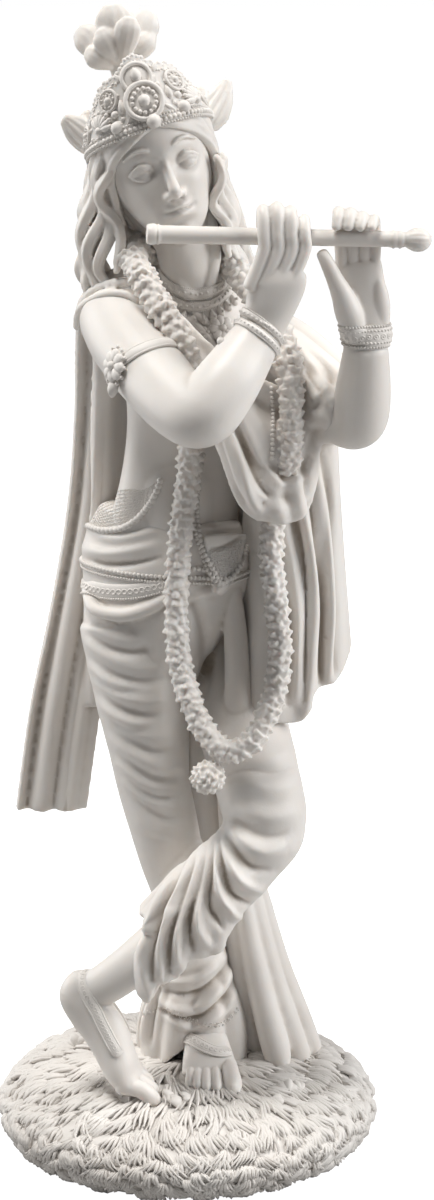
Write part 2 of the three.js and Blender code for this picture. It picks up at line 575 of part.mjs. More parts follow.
// One geometry for the outer skin of solids that are cast together.
function castTogether(solids, cut) {
  const joined = wasm.Manifold.union(solids).subtract(cut);
  const [outer] = joined.decompose().sort((a, b) => b.volume() - a.volume());
  const mesh = outer.getMesh();
  const geometry = new THREE.BufferGeometry();
  geometry.setAttribute("position", new THREE.BufferAttribute(new Float32Array(mesh.vertProperties), 3));
  geometry.setIndex(new THREE.BufferAttribute(new Uint32Array(mesh.triVerts), 1));
  return geometry;
}

const casting = new THREE.MeshStandardMaterial({ color: 0xe9e6e1, roughness: 0.5, metalness: 0 });
const rod = new THREE.MeshStandardMaterial({ color: 0xedebe7, roughness: 0.42, metalness: 0 });

const forms = [
  mound(), ...trunk(), ...arms(), ...hands(), ...head(), ...hair(), ...crown(), ...dhoti(), ...belts(),
  ...legsAndFeet(), ...garland(), ...jewellery(), ...shawl(),
];
const figure = new THREE.Mesh(castTogether(forms, solidOf(fluteShape(FLUTE_GAP))), casting);
figure.name = "krishna_figure";
const flute = new THREE.Mesh(fluteShape(0), rod);
flute.name = "flute";

const statuette = new THREE.Group();
statuette.add(figure, flute);
export default statuette;
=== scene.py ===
# A white cast statuette of a flute player with crossed legs, on a round grassy mound.
# Lengths are millimetres as drawn, +Z up and -Y towards the viewer. Each piece ends in metres, in the CAD's frame.
import math

import bmesh
import bpy
import numpy as np
from mathutils import Matrix, Vector
from mathutils.bvhtree import BVHTree


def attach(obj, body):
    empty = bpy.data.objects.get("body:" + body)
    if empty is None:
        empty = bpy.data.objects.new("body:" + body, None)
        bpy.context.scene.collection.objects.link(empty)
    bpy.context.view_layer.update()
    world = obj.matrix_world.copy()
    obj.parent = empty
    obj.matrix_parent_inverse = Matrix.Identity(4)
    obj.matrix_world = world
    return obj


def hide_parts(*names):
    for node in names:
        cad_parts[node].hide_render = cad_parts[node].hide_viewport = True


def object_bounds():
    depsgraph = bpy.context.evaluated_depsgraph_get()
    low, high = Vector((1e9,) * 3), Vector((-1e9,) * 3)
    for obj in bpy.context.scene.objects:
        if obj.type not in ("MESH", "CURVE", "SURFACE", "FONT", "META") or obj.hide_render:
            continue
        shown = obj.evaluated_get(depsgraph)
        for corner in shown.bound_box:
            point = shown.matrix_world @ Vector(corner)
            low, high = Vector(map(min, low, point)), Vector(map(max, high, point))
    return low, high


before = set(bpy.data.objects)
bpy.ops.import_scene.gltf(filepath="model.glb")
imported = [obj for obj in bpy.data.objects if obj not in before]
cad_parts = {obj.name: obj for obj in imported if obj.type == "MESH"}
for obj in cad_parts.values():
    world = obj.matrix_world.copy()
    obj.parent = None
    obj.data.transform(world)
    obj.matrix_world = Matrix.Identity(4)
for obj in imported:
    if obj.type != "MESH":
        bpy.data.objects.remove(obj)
cad_low, cad_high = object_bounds()
scene = bpy.context.scene

# The statuette as drawn, and where the photograph was taken from
DRAWN_HEIGHT = 258.34
MM = (cad_high.z - cad_low.z) / DRAWN_HEIGHT
EYE = np.array([7.0, -600.0, 285.0])
EYE_PITCH = math.radians(14.67)
TOWARDS_EYE = np.array([0.0, -math.cos(EYE_PITCH), math.sin(EYE_PITCH)])


# Modelling tools


def placed(name, data):
    """An object with its data, in the scene."""
    item = bpy.data.objects.new(name, data)
    scene.collection.objects.link(item)
    return item


def primitive(make, **settings):
    """A bmesh shape as a mesh of its own."""
    bm = bmesh.new()
    make(bm, **settings)
    return as_mesh(bm)


def as_mesh(bm):
    mesh = bpy.data.meshes.new("form")
    bm.to_mesh(mesh)
    bm.free()
    return mesh


def triples(items, name):
    flat = np.empty(len(items) * 3)
    items.foreach_get(name, flat)
    return flat.reshape(-1, 3)


def points_of(mesh):
    return triples(mesh.vertices, "co")


def normals_of(mesh):
    return triples(mesh.vertex_normals, "vector")


def set_points(mesh, points):
    mesh.vertices.foreach_set("co", np.ascontiguousarray(points).ravel())
    mesh.update()
    return mesh


def unit(vectors):
    return vectors / np.maximum(np.linalg.norm(vectors, axis=-1, keepdims=True), 1e-9)


def read_along(rows, t):
    """A smooth curve through rows of numbers, read at every t from 0 to 1."""
    rows = np.asarray(rows, float)
    at = np.clip(np.atleast_1d(t), 0, 1) * (len(rows) - 1)
    i = np.minimum(at.astype(int), len(rows) - 2)
    f = (at - i)[:, None]
    a, b, c, d = (rows[np.clip(i + k, 0, len(rows) - 1)] for k in (-1, 0, 1, 2))
    return 0.5 * (2 * b + (c - a) * f + (2 * a - 5 * b + 4 * c - d) * f**2 + (3 * b - a - 3 * c + d) * f**3)


def mix(a, b, share):
    return a + (b - a) * np.asarray(share)[..., None]


def hung(first, last, along, between):
    """Points of a sheet drawn between two lines: how far along both, and how far from the first to the last."""
    return mix(read_along(first, along), read_along(last, along), between)


def step(low, high, value):
    """0 below low, 1 above high, smooth between."""
    share = np.clip((value - low) / (high - low), 0, 1)
    return share * share * (3 - 2 * share)


def fold_wave(turns):
    """Folds of cloth from -1 to 1: broad ridges with narrower valleys."""
    return 1 - 2 * ((1 - np.cos(2 * np.pi * turns)) / 2) ** 1.7


def angles_round(count, turn=0.0):
    return [turn + 2 * math.pi * n / count for n in range(count)]


def polar(angle, reach, z):
    return reach * math.cos(angle), reach * math.sin(angle), z


class Path:
    """A path with a width, a depth and a turn at every point, as limbs, locks and sleeves follow it."""

    STEP = 0.01  # to either side of a point, for the way that the path runs there

    def __init__(self, rows, side=(1, 0, 0)):
        self.rows = [list(row) + [row[3]] * (len(row) < 5) + [0] * (len(row) < 6) for row in rows]
        self.side = np.array(side, float)

    def at(self, t, angle, out=0.0, shrink=1.0, ahead=0.0):
        """Points on the skin at t along the path and at angle about it."""
        sizes = read_along(self.rows, t)
        axis = unit((read_along(self.rows, t + self.STEP) - read_along(self.rows, t - self.STEP))[:, :3])
        side = read_along(self.side, t) if self.side.ndim == 2 else np.broadcast_to(self.side, axis.shape)
        across = unit(side - axis * (axis * side).sum(1, keepdims=True))
        deep = np.cross(axis, across)
        turn = np.radians(sizes[:, 5:6])
        across, deep = (
            across * np.cos(turn) + deep * np.sin(turn),
            deep * np.cos(turn) - across * np.sin(turn),
        )
        wide = np.cos(angle) * (sizes[:, 3] + out) * shrink
        high = np.sin(angle) * (sizes[:, 4] + out) * shrink
        end = ahead * np.minimum(sizes[:, 3], sizes[:, 4])
        return sizes[:, :3] + axis * np.atleast_1d(end)[:, None] + across * wide[:, None] + deep * high[:, None]


END_SHARE = 0.1  # how much of a limb's rings close each of its ends
SMALL_SHARE = 1e-3  # a step along a sheet, to find which way it faces


def limb(rows, around=32, rings=60, side=(1, 0, 0), ends=(0.6, 0.6), relief=None):
    """A sphere's rings drawn out along a path. Each end is domed by its share of the limb's radius."""
    mesh = primitive(bmesh.ops.create_uvsphere, u_segments=around, v_segments=rings, radius=1)
    ball = points_of(mesh)
    angle = np.arctan2(ball[:, 1], ball[:, 0])
    down = np.arccos(np.clip(ball[:, 2], -1, 1)) / np.pi
    t = np.clip((down - END_SHARE) / (1 - 2 * END_SHARE), 0, 1)
    first = np.clip(1 - down / END_SHARE, 0, 1) * np.pi / 2
    last = np.clip(1 - (1 - down) / END_SHARE, 0, 1) * np.pi / 2
    out = relief(t, angle) if relief else 0.0
    ahead = np.sin(last) * ends[1] - np.sin(first) * ends[0]
    points = Path(rows, side).at(t, angle, out, np.cos(first) * np.cos(last), ahead)
    set_points(mesh, points)
    mesh.flip_normals()
    return mesh


def cord(track, radius, around=8, rings=90):
    """A thin round cord along a track of points."""
    return limb([tuple(place) + (radius,) for place in track], around, rings)


def egg(centre, sizes, roll=0, turn=0, detail=20):
    """An egg-shaped lump, rolled about y and then turned about z, in degrees."""
    mesh = primitive(bmesh.ops.create_uvsphere, u_segments=detail, v_segments=max(6, detail * 2 // 3), radius=1)
    around = Matrix.Rotation(math.radians(turn), 3, "Z") @ Matrix.Rotation(math.radians(roll), 3, "Y")
    return set_points(mesh, (points_of(mesh) * sizes) @ np.array(around).T + centre)


def cloth(drawn, across=80, down=80, thickness=2.4):
    """A hanging cloth. drawn(u, v) is its middle surface, with u across and v down."""
    bm = bmesh.new()
    bmesh.ops.create_grid(bm, x_segments=across, y_segments=down, size=0.5)
    bmesh.ops.solidify(bm, geom=bm.faces[:], thickness=1)
    plate = as_mesh(bm)
    flat = points_of(plate)
    u, v = flat[:, 0] + 0.5, 0.5 - flat[:, 1]
    along = drawn(u + SMALL_SHARE, v) - drawn(u - SMALL_SHARE, v)
    normal = unit(np.cross(along, drawn(u, v - SMALL_SHARE) - drawn(u, v + SMALL_SHARE)))
    middle = (flat[:, 2].min() + flat[:, 2].max()) / 2
    return set_points(plate, drawn(u, v) + normal * thickness * (flat[:, 2:] - middle))


def torus(radius, thick, around=28, sides=8):
    bm = bmesh.new()
    stand = Matrix.Translation((radius, 0, 0)) @ Matrix.Rotation(math.pi / 2, 4, "X")
    bmesh.ops.create_circle(bm, segments=sides, radius=thick, matrix=stand)
    bmesh.ops.spin(bm, geom=bm.verts[:] + bm.edges[:], axis=(0, 0, 1), angle=2 * math.pi, steps=around, use_merge=True)
    bmesh.ops.recalc_face_normals(bm, faces=bm.faces[:])
    return as_mesh(bm)


def copies(base, shapes):
    """Copies of a small mesh as one mesh. Each shape is where one copy's points go."""
    bm = bmesh.new()
    for _ in shapes:
        bm.from_mesh(base)
    return set_points(as_mesh(bm), np.concatenate(shapes))


def scatter(base, placings):
    """Copies of a small mesh. Each placing is an origin and the three vectors that its x, y and z take."""
    shape = points_of(base)
    return copies(base, [shape @ np.array(axes) + origin for origin, axes in placings])


def ribbon(track, normals, wide, thick, around=12, per_row=2):
    """A flat band laid along a track on a skin, with its wide way across the track."""
    sides = np.cross(unit(np.gradient(track, axis=0)), normals)
    rows = [tuple(place) + (wide, thick) for place in track]
    return limb(rows, around, int(len(track) * per_row / (1 - 2 * END_SHARE)), side=sides, ends=(0.2, 0.2))


LARGE_BEAD = 0.45  # beads above this radius are rounder


def bead(radius=1.0, segments=7):
    return primitive(bmesh.ops.create_uvsphere, u_segments=segments, v_segments=segments - 2, radius=radius)


def run_of(track):
    """How far along a track each of its points lies."""
    return np.concatenate([[0], np.cumsum(np.linalg.norm(np.diff(track, axis=0), axis=1))])


def at_stops(stops, run, rows):
    """A track's rows of numbers, read at the stops along it."""
    return np.stack([np.interp(stops, run, rows[:, k]) for k in range(3)], axis=-1)


def beads_along(track, radius, pitch):
    """A string of beads at an even pitch along a track of points."""
    track = np.asarray(track, float)
    run = run_of(track)
    places = at_stops(np.arange(pitch / 2, run[-1], pitch), run, track)
    segments = 8 if radius > LARGE_BEAD else 6
    return scatter(bead(1.0, segments), [(place, np.eye(3) * radius) for place in places])


def joined(forms):
    """Forms as one mesh."""
    bm = bmesh.new()
    for form in forms:
        bm.from_mesh(form)
        bpy.data.meshes.remove(form)
    return as_mesh(bm)


def worked(piece, kind, **settings):
    """One of Blender's modifiers, put on a piece and applied."""
    modifier = piece.modifiers.new(kind.lower(), kind)
    for setting, value in settings.items():
        setattr(modifier, setting, value)
    made = bpy.data.meshes.new_from_object(piece.evaluated_get(bpy.context.evaluated_depsgraph_get()))
    piece.modifiers.clear()
    old, piece.data = piece.data, made
    bpy.data.meshes.remove(old)
    return piece


def fused(name, forms, voxel=None, smooth=0):
    """Forms as one piece. With a voxel size they become one skin, as cast forms are."""
    piece = placed(name, joined(forms))
    if voxel:
        worked(piece, "REMESH", mode="VOXEL", voxel_size=voxel)
    if smooth:
        soften(piece, smooth)
    return piece


def thinned(piece, share):
    """The same skin with fewer faces."""
    return worked(piece, "DECIMATE", ratio=share)


def sculpt(piece, how_far):
    """Moves a piece's skin out along its normals by how_far(points, normals)."""
    points, normals = points_of(piece.data), normals_of(piece.data)
    set_points(piece.data, points + normals * how_far(points, normals)[:, None])


def soften(piece, times, factor=0.5):
    return worked(piece, "SMOOTH", factor=factor, iterations=times)


def soften_near(piece, place, reach, times):
    """Rounds off the skin round one place."""
    bm = bmesh.new()
    bm.from_mesh(piece.data)
    near = [vert for vert in bm.verts if (vert.co - Vector(place)).length < reach]
    for _ in range(times):
        bmesh.ops.smooth_vert(bm, verts=near, factor=0.5, use_axis_x=True, use_axis_y=True, use_axis_z=True)
    bm.to_mesh(piece.data)
    bm.free()


def as_seen(points):
    """Where points show from the eye, across and up, on the upright plane through the mound's middle."""
    reach = -EYE[1] / (points[:, 1] - EYE[1])
    return EYE[[0, 2]] + (points[:, [0, 2]] - EYE[[0, 2]]) * reach[:, None]


STROKE_POINTS = 25  # along each path
STROKE_REACH = 3  # in widths, past which a fold has died away


def strokes(points, normals, marks):
    """Folds pressed or raised along paths that are drawn as the eye sees them: path, width and height."""
    seen = as_seen(points)
    facing = np.clip(normals @ TOWARDS_EYE, 0, 1) ** 0.5
    out = np.zeros(len(points))
    for path, width, height in marks:
        track = read_along(path, np.linspace(0, 1, STROKE_POINTS))
        reach = STROKE_REACH * width
        low, high = track.min(0) - reach, track.max(0) + reach
        near = np.flatnonzero(((seen > low) & (seen < high)).all(1) & (facing > 0))
        start, way = track[:-1], np.diff(track, axis=0)
        offset = seen[near, None, :] - start
        share = np.clip((offset * way).sum(-1) / (way**2).sum(-1), 0, 1)
        gap = ((offset - way * share[..., None]) ** 2).sum(-1)
        closest = gap.argmin(1)
        pick = np.arange(len(near))
        along = (closest + share[pick, closest]) / len(way)
        fade = np.sin(np.pi * np.clip(along, 0.03, 0.97)) ** 0.5
        out[near] += height * np.exp(-gap[pick, closest] / width**2) * fade * facing[near]
    return out


def shade_hollows(piece, times=24, full=0.55):
    """Notes on the skin how deep it lies in its hollows, from 0 to 1, for the painted shade there: a warmer and darker
    colour.
    """
    points, normals = points_of(piece.data), normals_of(piece.data)
    smoothed = placed("smoothed", piece.data.copy())
    soften(smoothed, times, 0.6)
    depth = ((points_of(smoothed.data) - points) * normals).sum(1)
    bpy.data.objects.remove(smoothed)
    hollow_shade = piece.data.attributes.new("hollow_shade", "FLOAT", "POINT")
    hollow_shade.data.foreach_set("value", np.clip(depth / full, 0, 1).astype(np.float32))


def tree_of(*pieces):
    """The skins of some pieces, ready to be searched for the nearest point or the point that the eye sees."""
    bm = bmesh.new()
    for piece in pieces:
        bm.from_mesh(piece.data)
    tree = BVHTree.FromBMesh(bm)
    bm.free()
    return tree


def laid_on(tree, marks, lift, steps=60):
    """A track on the skin that the eye sees behind a drawn path, lifted off it, and the skin's normals there."""
    track, normals = [], []
    for across, up in read_along(marks, np.linspace(0, 1, steps)):
        ray = unit(np.array([across, 0, up]) - EYE)
        place, normal, _, _ = tree.ray_cast(EYE.tolist(), ray.tolist())
        if place:
            track.append(np.array(place) + np.array(normal) * lift)
            normals.append(np.array(normal))
    return evened(track), unit(evened(normals))


def drawn_to(tree, rows, lift, steps=80):
    """A ring of points drawn in to the skin and lifted off it, and the skin's normals there."""
    track, normals = [], []
    middle = rows[:-1].mean(0)
    for row in read_along(rows, np.linspace(0, 1, steps)):
        place, normal, _, _ = tree.ray_cast(row.tolist(), (middle - row).tolist())
        if not place:
            place, normal, _, _ = tree.find_nearest(row.tolist())
        track.append(np.array(place) + np.array(normal) * lift)
        normals.append(np.array(normal))
    return evened(track, 8), unit(evened(normals, 8))


def evened(rows, times=3):
    """Rows with their small jumps smoothed away."""
    rows = np.array(rows)
    for _ in range(times):
        rows[1:-1] = (rows[:-2] + 2 * rows[1:-1] + rows[2:]) / 4
    return rows


def ring_round(centre, axis, radius, turn=0.0, steps=40):
    """A circle of points about an axis, to be drawn to a limb's skin."""
    axis = unit(np.array(axis, float))
    across = unit(np.cross(axis, (0, 1, 0.001)))
    deep = np.cross(axis, across)
    angles = np.linspace(0, 2 * np.pi, steps) + turn
    return np.array(centre) + radius * (np.outer(np.cos(angles), across) + np.outer(np.sin(angles), deep))


# Body


def torso():
    """Waist, chest and shoulders, with the chest's two swells and the belly's."""
    return [
        limb(
            [
                (-4.2, 3.5, 128, 12, 7, 14), (-4, 3.5, 136, 14, 8.4, 15), (-3, 3.5, 143, 14.8, 9.2, 17),
                (-2, 3.5, 149, 14.4, 9.4, 18), (-0.8, 3.5, 160, 13.4, 9, 20), (1.6, 3.5, 171, 15.6, 10, 22),
                (2.6, 4, 181, 17, 10.6, 23), (2.8, 5, 190, 16, 8.6, 23), (2.8, 4, 197, 9, 6.4, 20),
            ],
            around=48, rings=80, ends=(0.3, 0.3),
        ),
        egg((-5.6, -4.2, 182), (7.2, 3.6, 6), turn=14),
        egg((9.4, -1.4, 182), (7, 3.6, 6), turn=30),
        egg((-1.6, -2.6, 151), (8.6, 5.2, 12), turn=16),
    ]


NEAR_ARM = [
    (-15.5, -1.5, 192.5, 8), (-12.5, -9, 188.5, 8.3), (-6.6, -20.5, 182.8, 7.9), (-0.6, -30.4, 178.2, 7.4),
    (4, -34.6, 177.4, 7.2), (8.6, -32.6, 182.8, 7), (12.6, -29, 188.2, 6.1), (16.4, -26, 193.8, 4.9),
]
FAR_ARM = [
    (17.5, 12, 184.5, 7.6), (22.4, 5.5, 181.2, 7.5), (28.6, -3.5, 176.6, 7), (34.4, -11, 172.4, 6.5),
    (37.6, -14.6, 172.4, 6.3), (38.4, -17.6, 178.6, 6.1), (38.8, -20.4, 188.6, 4.9),
]


def body():
    """The torso and both arms down to the wrists."""
    arms = [limb(NEAR_ARM, 40, 100), limb(FAR_ARM, 40, 100)]
    return fused("body", torso() + arms, voxel=0.62, smooth=6)


# Flute

FLUTE_LENGTH = 60.0
FLUTE_RADIUS = 1.9
FLUTE_TAPER = 0.25
FLUTE_KNOB_RADIUS = 2.5
FLUTE_MIDDLE = np.array([22.2, -26, 213.2])
FLUTE_TURN = math.radians(4)
FLUTE_DROP = math.radians(1.7)


def flute():
    """Turned profile from the mouth end to the knob: a ringed cap, a long taper, two rings and a ribbed knob."""
    far = FLUTE_RADIUS - FLUTE_TAPER
    knob = FLUTE_KNOB_RADIUS
    end = FLUTE_LENGTH
    profile = [
        (0, 0.5), (1.1, 0.5), (1.25, 0.05), (1.75, 0), (2.1, 0.35), (2.2, 0.9), (2.22, 1.6), (2.1, 2.0), (1.92, 2.15),
        (2.14, 2.35), (2.14, 2.6), (1.9, 2.85), (FLUTE_RADIUS, 3.4), (1.82, 20), (1.74, 38), (far, end - 9.2),
        (far + 0.1, end - 8.6), (far + 0.34, end - 8.1), (far + 0.1, end - 7.6), (far + 0.1, end - 7.2),
        (far + 0.34, end - 6.7), (far + 0.05, end - 6.2), (far - 0.1, end - 5.6), (knob * 0.8, end - 4.8),
        (knob * 0.96, end - 3.8), (knob, end - 2.8), (knob * 0.93, end - 1.7), (knob * 0.7, end - 0.8),
        (knob * 0.36, end - 0.2), (0, end),
    ]
    bm = bmesh.new()
    line = [bm.verts.new((radius, 0, run)) for radius, run in profile]
    for a, b in zip(line, line[1:]):
        bm.edges.new((a, b))
    bmesh.ops.spin(bm, geom=bm.verts[:] + bm.edges[:], axis=(0, 0, 1), angle=2 * math.pi, steps=48, use_merge=True)
    bmesh.ops.remove_doubles(bm, verts=bm.verts[:], dist=1e-4)
    bmesh.ops.recalc_face_normals(bm, faces=bm.faces[:])
    mesh = as_mesh(bm)
    points = points_of(mesh)
    run = points[:, 2]
    turn = np.arctan2(points[:, 1], points[:, 0])
    ribs = 0.09 * np.cos(14 * turn) * step(end - 5.2, end - 4, run) * step(end - 0.3, end - 1, run)
    points[:, :2] *= (1 + ribs / knob)[:, None]
    points[:, 2] -= FLUTE_LENGTH / 2
    lie = Matrix.Rotation(FLUTE_TURN, 3, "Z") @ Matrix.Rotation(math.pi / 2 + FLUTE_DROP, 3, "Y")
    set_points(mesh, points @ np.array(lie).T + FLUTE_MIDDLE)
    return fused("flute_rod", [mesh])


def by_flute(along, front, above):
    """A point beside the flute's middle: how far along it, in front of it and above it."""
    x, y, z = FLUTE_MIDDLE
    return (
        x + along * math.cos(FLUTE_TURN) + front * math.sin(FLUTE_TURN),
        y + along * math.sin(FLUTE_TURN) - front * math.cos(FLUTE_TURN),
        z - along * math.tan(FLUTE_DROP) + above,
    )


# Hands


def flute_rows(*rows):
    """Rows of a path beside the flute: how far along, in front and above, and the radius."""
    return [by_flute(*row[:3]) + (row[3],) for row in rows]


def near_hand():
    """The back of the hand faces the viewer, with the fingers over the flute."""
    forms = [
        limb(
            [
                (13.2, -28.6, 189, 5.9, 5.6), (15.2, -26.8, 192, 4.9, 4.5), (17, -26.6, 195.6, 4.9, 3.9),
                (18.6, -27.6, 200, 5.5, 3.5), (19.8, -28.4, 204, 5.9, 2.9), (20.2, -28.6, 206.4, 5.6, 2.2),
            ],
            36, 60,
        ),
        limb([
            (15.4, -25.6, 196.4, 2.4), (15.2, -25, 201.4, 1.9), (17.4, -24.2, 207.6, 1.6),
            *flute_rows((-3, -0.6, -3.4, 1.3)),
        ], 16, 30),
    ]
    for n, (long, wide) in enumerate(zip((5.6, 6.2, 5.5, 3.9), (1.42, 1.46, 1.42, 1.26))):
        along = -5.7 + 2.86 * n
        knuckle = (19.2 + along * 0.92, -29.4, 203.6 - 0.3 * abs(n - 1))
        curled = flute_rows(
            (along, 3.2, -2.6, wide * 1.04), (along, 3.3, 0.8, wide), (along, 2.6, long - 1.4, wide * 1.03),
            (along, 0.9, long, wide * 0.98), (along, -1.3, long - 1.8, wide * 0.9), (along, -2.6, 1.8, wide * 0.86),
            (along, -2.7, -0.4, wide * 0.72),
        )
        forms.append(limb([knuckle + (wide * 1.12,)] + curled, 16, 50))
    return forms


def far_hand():
    """The palm faces the viewer, with the thumb below the flute and the fingers coming over it from behind."""
    forms = [
        limb(
            [
                (38.4, -19.2, 184, 4.2, 4), (38.7, -20.4, 189, 4.8, 4.3), (38.8, -20.6, 192.6, 4.9, 3.7),
                (38.4, -20.8, 197, 5.5, 3.2), (37.4, -20.8, 202, 5.4, 2.6), (36.8, -20.8, 206.6, 5.1, 2),
            ],
            36, 60,
        ),
        limb([(36.6, -22.4, 192.6, 2.6), (35, -23.6, 196.6, 3), (33.4, -24.6, 200.8, 2.4), (31.6, -25.4, 204.6, 1.8),
              (30, -26, 208, 1.55), *flute_rows((6.8, 0.4, -3.2, 1.3))], 20, 50),
        egg((41.4, -21.6, 198.4), (2.4, 2.2, 6), roll=-6),
    ]
    for n, (tall, wide) in enumerate(zip((5.2, 5, 4.4, 3.9), (1.36, 1.42, 1.36, 1.18))):
        along = 10.5 + 2.5 * n
        curled = flute_rows(
            (along + 0.6, -3.4, -1.2, wide * 1.02), (along + 0.4, -3.2, 2.4, wide), (along, -1.4, tall, wide),
            (along - 0.5, 0.8, tall - 0.5, wide * 0.9), (along - 1, 2.1, 2.4, wide * 0.74),
        )
        forms.append(limb([(33.6 + 2.2 * n, -20.6, 204.6, wide * 1.1)] + curled, 16, 50))
    return forms


def hands():
    return fused("hands", near_hand() + far_hand(), voxel=0.3, smooth=4)


# Head and neck

HEAD_AT = np.array([-6.4, -0.5, 227.5])
HEAD_ROLL = -17
HEAD_TURN = 10
HEAD_SET = np.array(Matrix.Rotation(math.radians(HEAD_ROLL), 3, "Y") @ Matrix.Rotation(math.radians(HEAD_TURN), 3, "Z"))


def on_head(x, y, z):
    """A point on the head, from x across the face, y back and z up."""
    return tuple(HEAD_SET @ np.array([x, y, z], float) + HEAD_AT)


def head_rows(*rows):
    """Rows of a path whose first three numbers are a point on the head."""
    return [on_head(*row[:3]) + tuple(row[3:]) for row in rows]


def head_egg(x, y, z, sizes, detail=20):
    return egg(on_head(x, y, z), sizes, roll=HEAD_ROLL, detail=detail)


# The face is a plain calm one: eyes half way up the head, the nose's foot and the brows a third of the face apart.
EYE_LINE = -1.8
EYE_APART = 4.7
NOSE_FOOT = -8.5
MOUTH_LINE = -11.3


def head():
    """Skull, nose and neck with its two cords, before the face is pressed in."""
    skull = head_rows(
        (0, -6.9, -17.2, 3.4, 4), (0, -5.9, -15.2, 5.9, 6.8), (0, -4.6, -11.6, 8.2, 8.7), (0, -3, -7, 10.2, 10.5),
        (0, -1.6, -2, 11.3, 12), (0, -0.6, 3, 11.7, 12.9), (0, 0.4, 8.5, 11.2, 12.6), (0, 1.2, 13.5, 8, 9.4),
    )
    nose = head_rows(
        (0, -11.9, 0.6, 1.3, 1.1), (0, -12.6, -2, 1.1, 1.4), (0, -13.7, -4.8, 1.15, 1.5),
        (0, -14.7, -6.8, 1.35, 1.35), (0, -14, NOSE_FOOT + 0.3, 1.25, 1),
    )
    forms = [
        limb(skull, 64, 100, ends=(0.35, 0.5)),
        limb(nose, 20, 40, ends=(0.7, 0.5)),
        limb([
            (2.6, 4, 190, 7.6, 7), (1.4, 2.4, 200, 6.5, 6.3), (-0.6, 1.2, 209, 6.2, 6.2), (-3, 1.4, 219, 6.6, 7),
        ], 48, 50),
        limb(head_rows((-8.2, 2.4, -9, 1.8)) + [(-4, -1, 207, 1.8), (0.8, -3.4, 197.4, 1.3)], 16, 30),
        limb(head_rows((8.2, 2.4, -9, 1.8)) + [(6.2, -0.4, 207, 1.8), (4.6, -2.8, 197.4, 1.3)], 16, 30),
    ]
    for sign in (-1, 1):
        forms.append(head_egg(1.6 * sign, -12.9, NOSE_FOOT + 0.6, (1.05, 1.6, 0.95)))
    return fused("head", forms, voxel=0.3, smooth=5)


def face_bumps():
    """Where the face swells or sinks: across, up, how wide, how high, how far out. Those off the middle are paired."""
    single = [
        (0, 0.6, 2.2, 1.5, 0.35), (0, -9.9, 0.55, 0.8, -0.22), (0, -14, 3, 0.8, -0.5), (0, -16.1, 2.6, 1.5, 0.85),
        (0, MOUTH_LINE + 0.95, 1.6, 0.6, 0.7), (0, MOUTH_LINE - 1.1, 2, 0.8, 1), (0, 7, 6, 3, 0.25),
    ]
    paired = [
        (EYE_APART, EYE_LINE + 0.1, 3, 2, -1.7), (2.9, EYE_LINE - 0.3, 1.2, 1.4, -0.4),
        (5, EYE_LINE + 3.2, 3.2, 1, 0.3), (6.3, -6, 2.6, 2.4, 0.5), (8.6, -3.2, 1.8, 1.6, 0.35),
        (1.2, MOUTH_LINE + 0.85, 1.4, 0.5, 0.35), (3.5, MOUTH_LINE + 0.1, 0.8, 0.8, -0.35),
        (3.7, -9.4, 0.8, 1.4, -0.14), (1.15, NOSE_FOOT - 0.35, 0.55, 0.4, -0.55), (4.4, -15, 1.8, 1.6, 0.25),
    ]
    return single + paired + [(-x, z, wide, high, out) for x, z, wide, high, out in paired]


def shape_face(piece):
    """Presses the face's bumps and the line between the lips into the head."""
    points = points_of(piece.data)
    own = (points - HEAD_AT) @ HEAD_SET
    x, y, z = own.T
    front = step(-4, -8, y) * step(-18.5, -16.5, z)
    out = np.zeros(len(x))
    for across, up, wide, high, height in face_bumps():
        out += height * np.exp(-(((x - across) / wide) ** 2) - ((z - up) / high) ** 2)
    lips = MOUTH_LINE + 0.022 * x**2 + 0.12 * np.cos(x * 1.6)
    out -= 0.62 * np.exp(-(((z - lips) / 0.3) ** 2)) * step(3.5, 2.4, np.abs(x))
    own[:, 1] -= out * front
    set_points(piece.data, own @ HEAD_SET.T + HEAD_AT)


def eyes():
    """Eyeballs under an upper and a lower lid, and thin brows."""
    forms = []
    for sign in (-1, 1):
        middle = EYE_APART * sign
        forms.append(head_egg(middle, -9.5, EYE_LINE - 0.2, (2.4, 2.3, 2.2), 28))
        lid = [
            (2.3, -10.7, -0.4, 0.3), (3.2, -11.4, 0.35, 0.36), (4.6, -11.8, 0.75, 0.4), (6.1, -11.3, 0.5, 0.38),
            (7.4, -10, -0.25, 0.26),
        ]
        crease = [(2.6, -11.4, 0.6, 0.3), (4.6, -12.1, 1.6, 0.5), (6.4, -11.4, 1.3, 0.4), (7.8, -9.8, 0.2, 0.25)]
        low = [(2.4, -10.7, -0.6, 0.26), (3.4, -11.2, -1.1, 0.3), (4.8, -11.4, -1.35, 0.32), (6.3, -11, -1.05, 0.3),
               (7.4, -10, -0.4, 0.22)]
        brow = [(2, -12.9, 2.1, 0.25), (3.6, -13, 2.9, 0.42), (5.8, -12.3, 3.1, 0.4), (8.3, -10.2, 1.9, 0.2)]
        for rows, middle_z in ((lid, EYE_LINE), (crease, EYE_LINE), (low, EYE_LINE), (brow, 0.0)):
            forms.append(limb(head_rows(*((x * sign, y, z + middle_z, size) for x, y, z, size in rows)), 12, 40))
    return forms


def finished_head():
    """The head with its face pressed into it, and the eyes set in."""
    bare = head()
    shape_face(bare)
    whole = fused("face_and_neck", [bare.data.copy()] + eyes(), voxel=0.24, smooth=2)
    bpy.data.objects.remove(bare)
    return thinned(whole, 0.34)


# Hair

LOCK_WAVES = 1.8  # how often a lock swings on its way down
BACK_LOCKS = 21


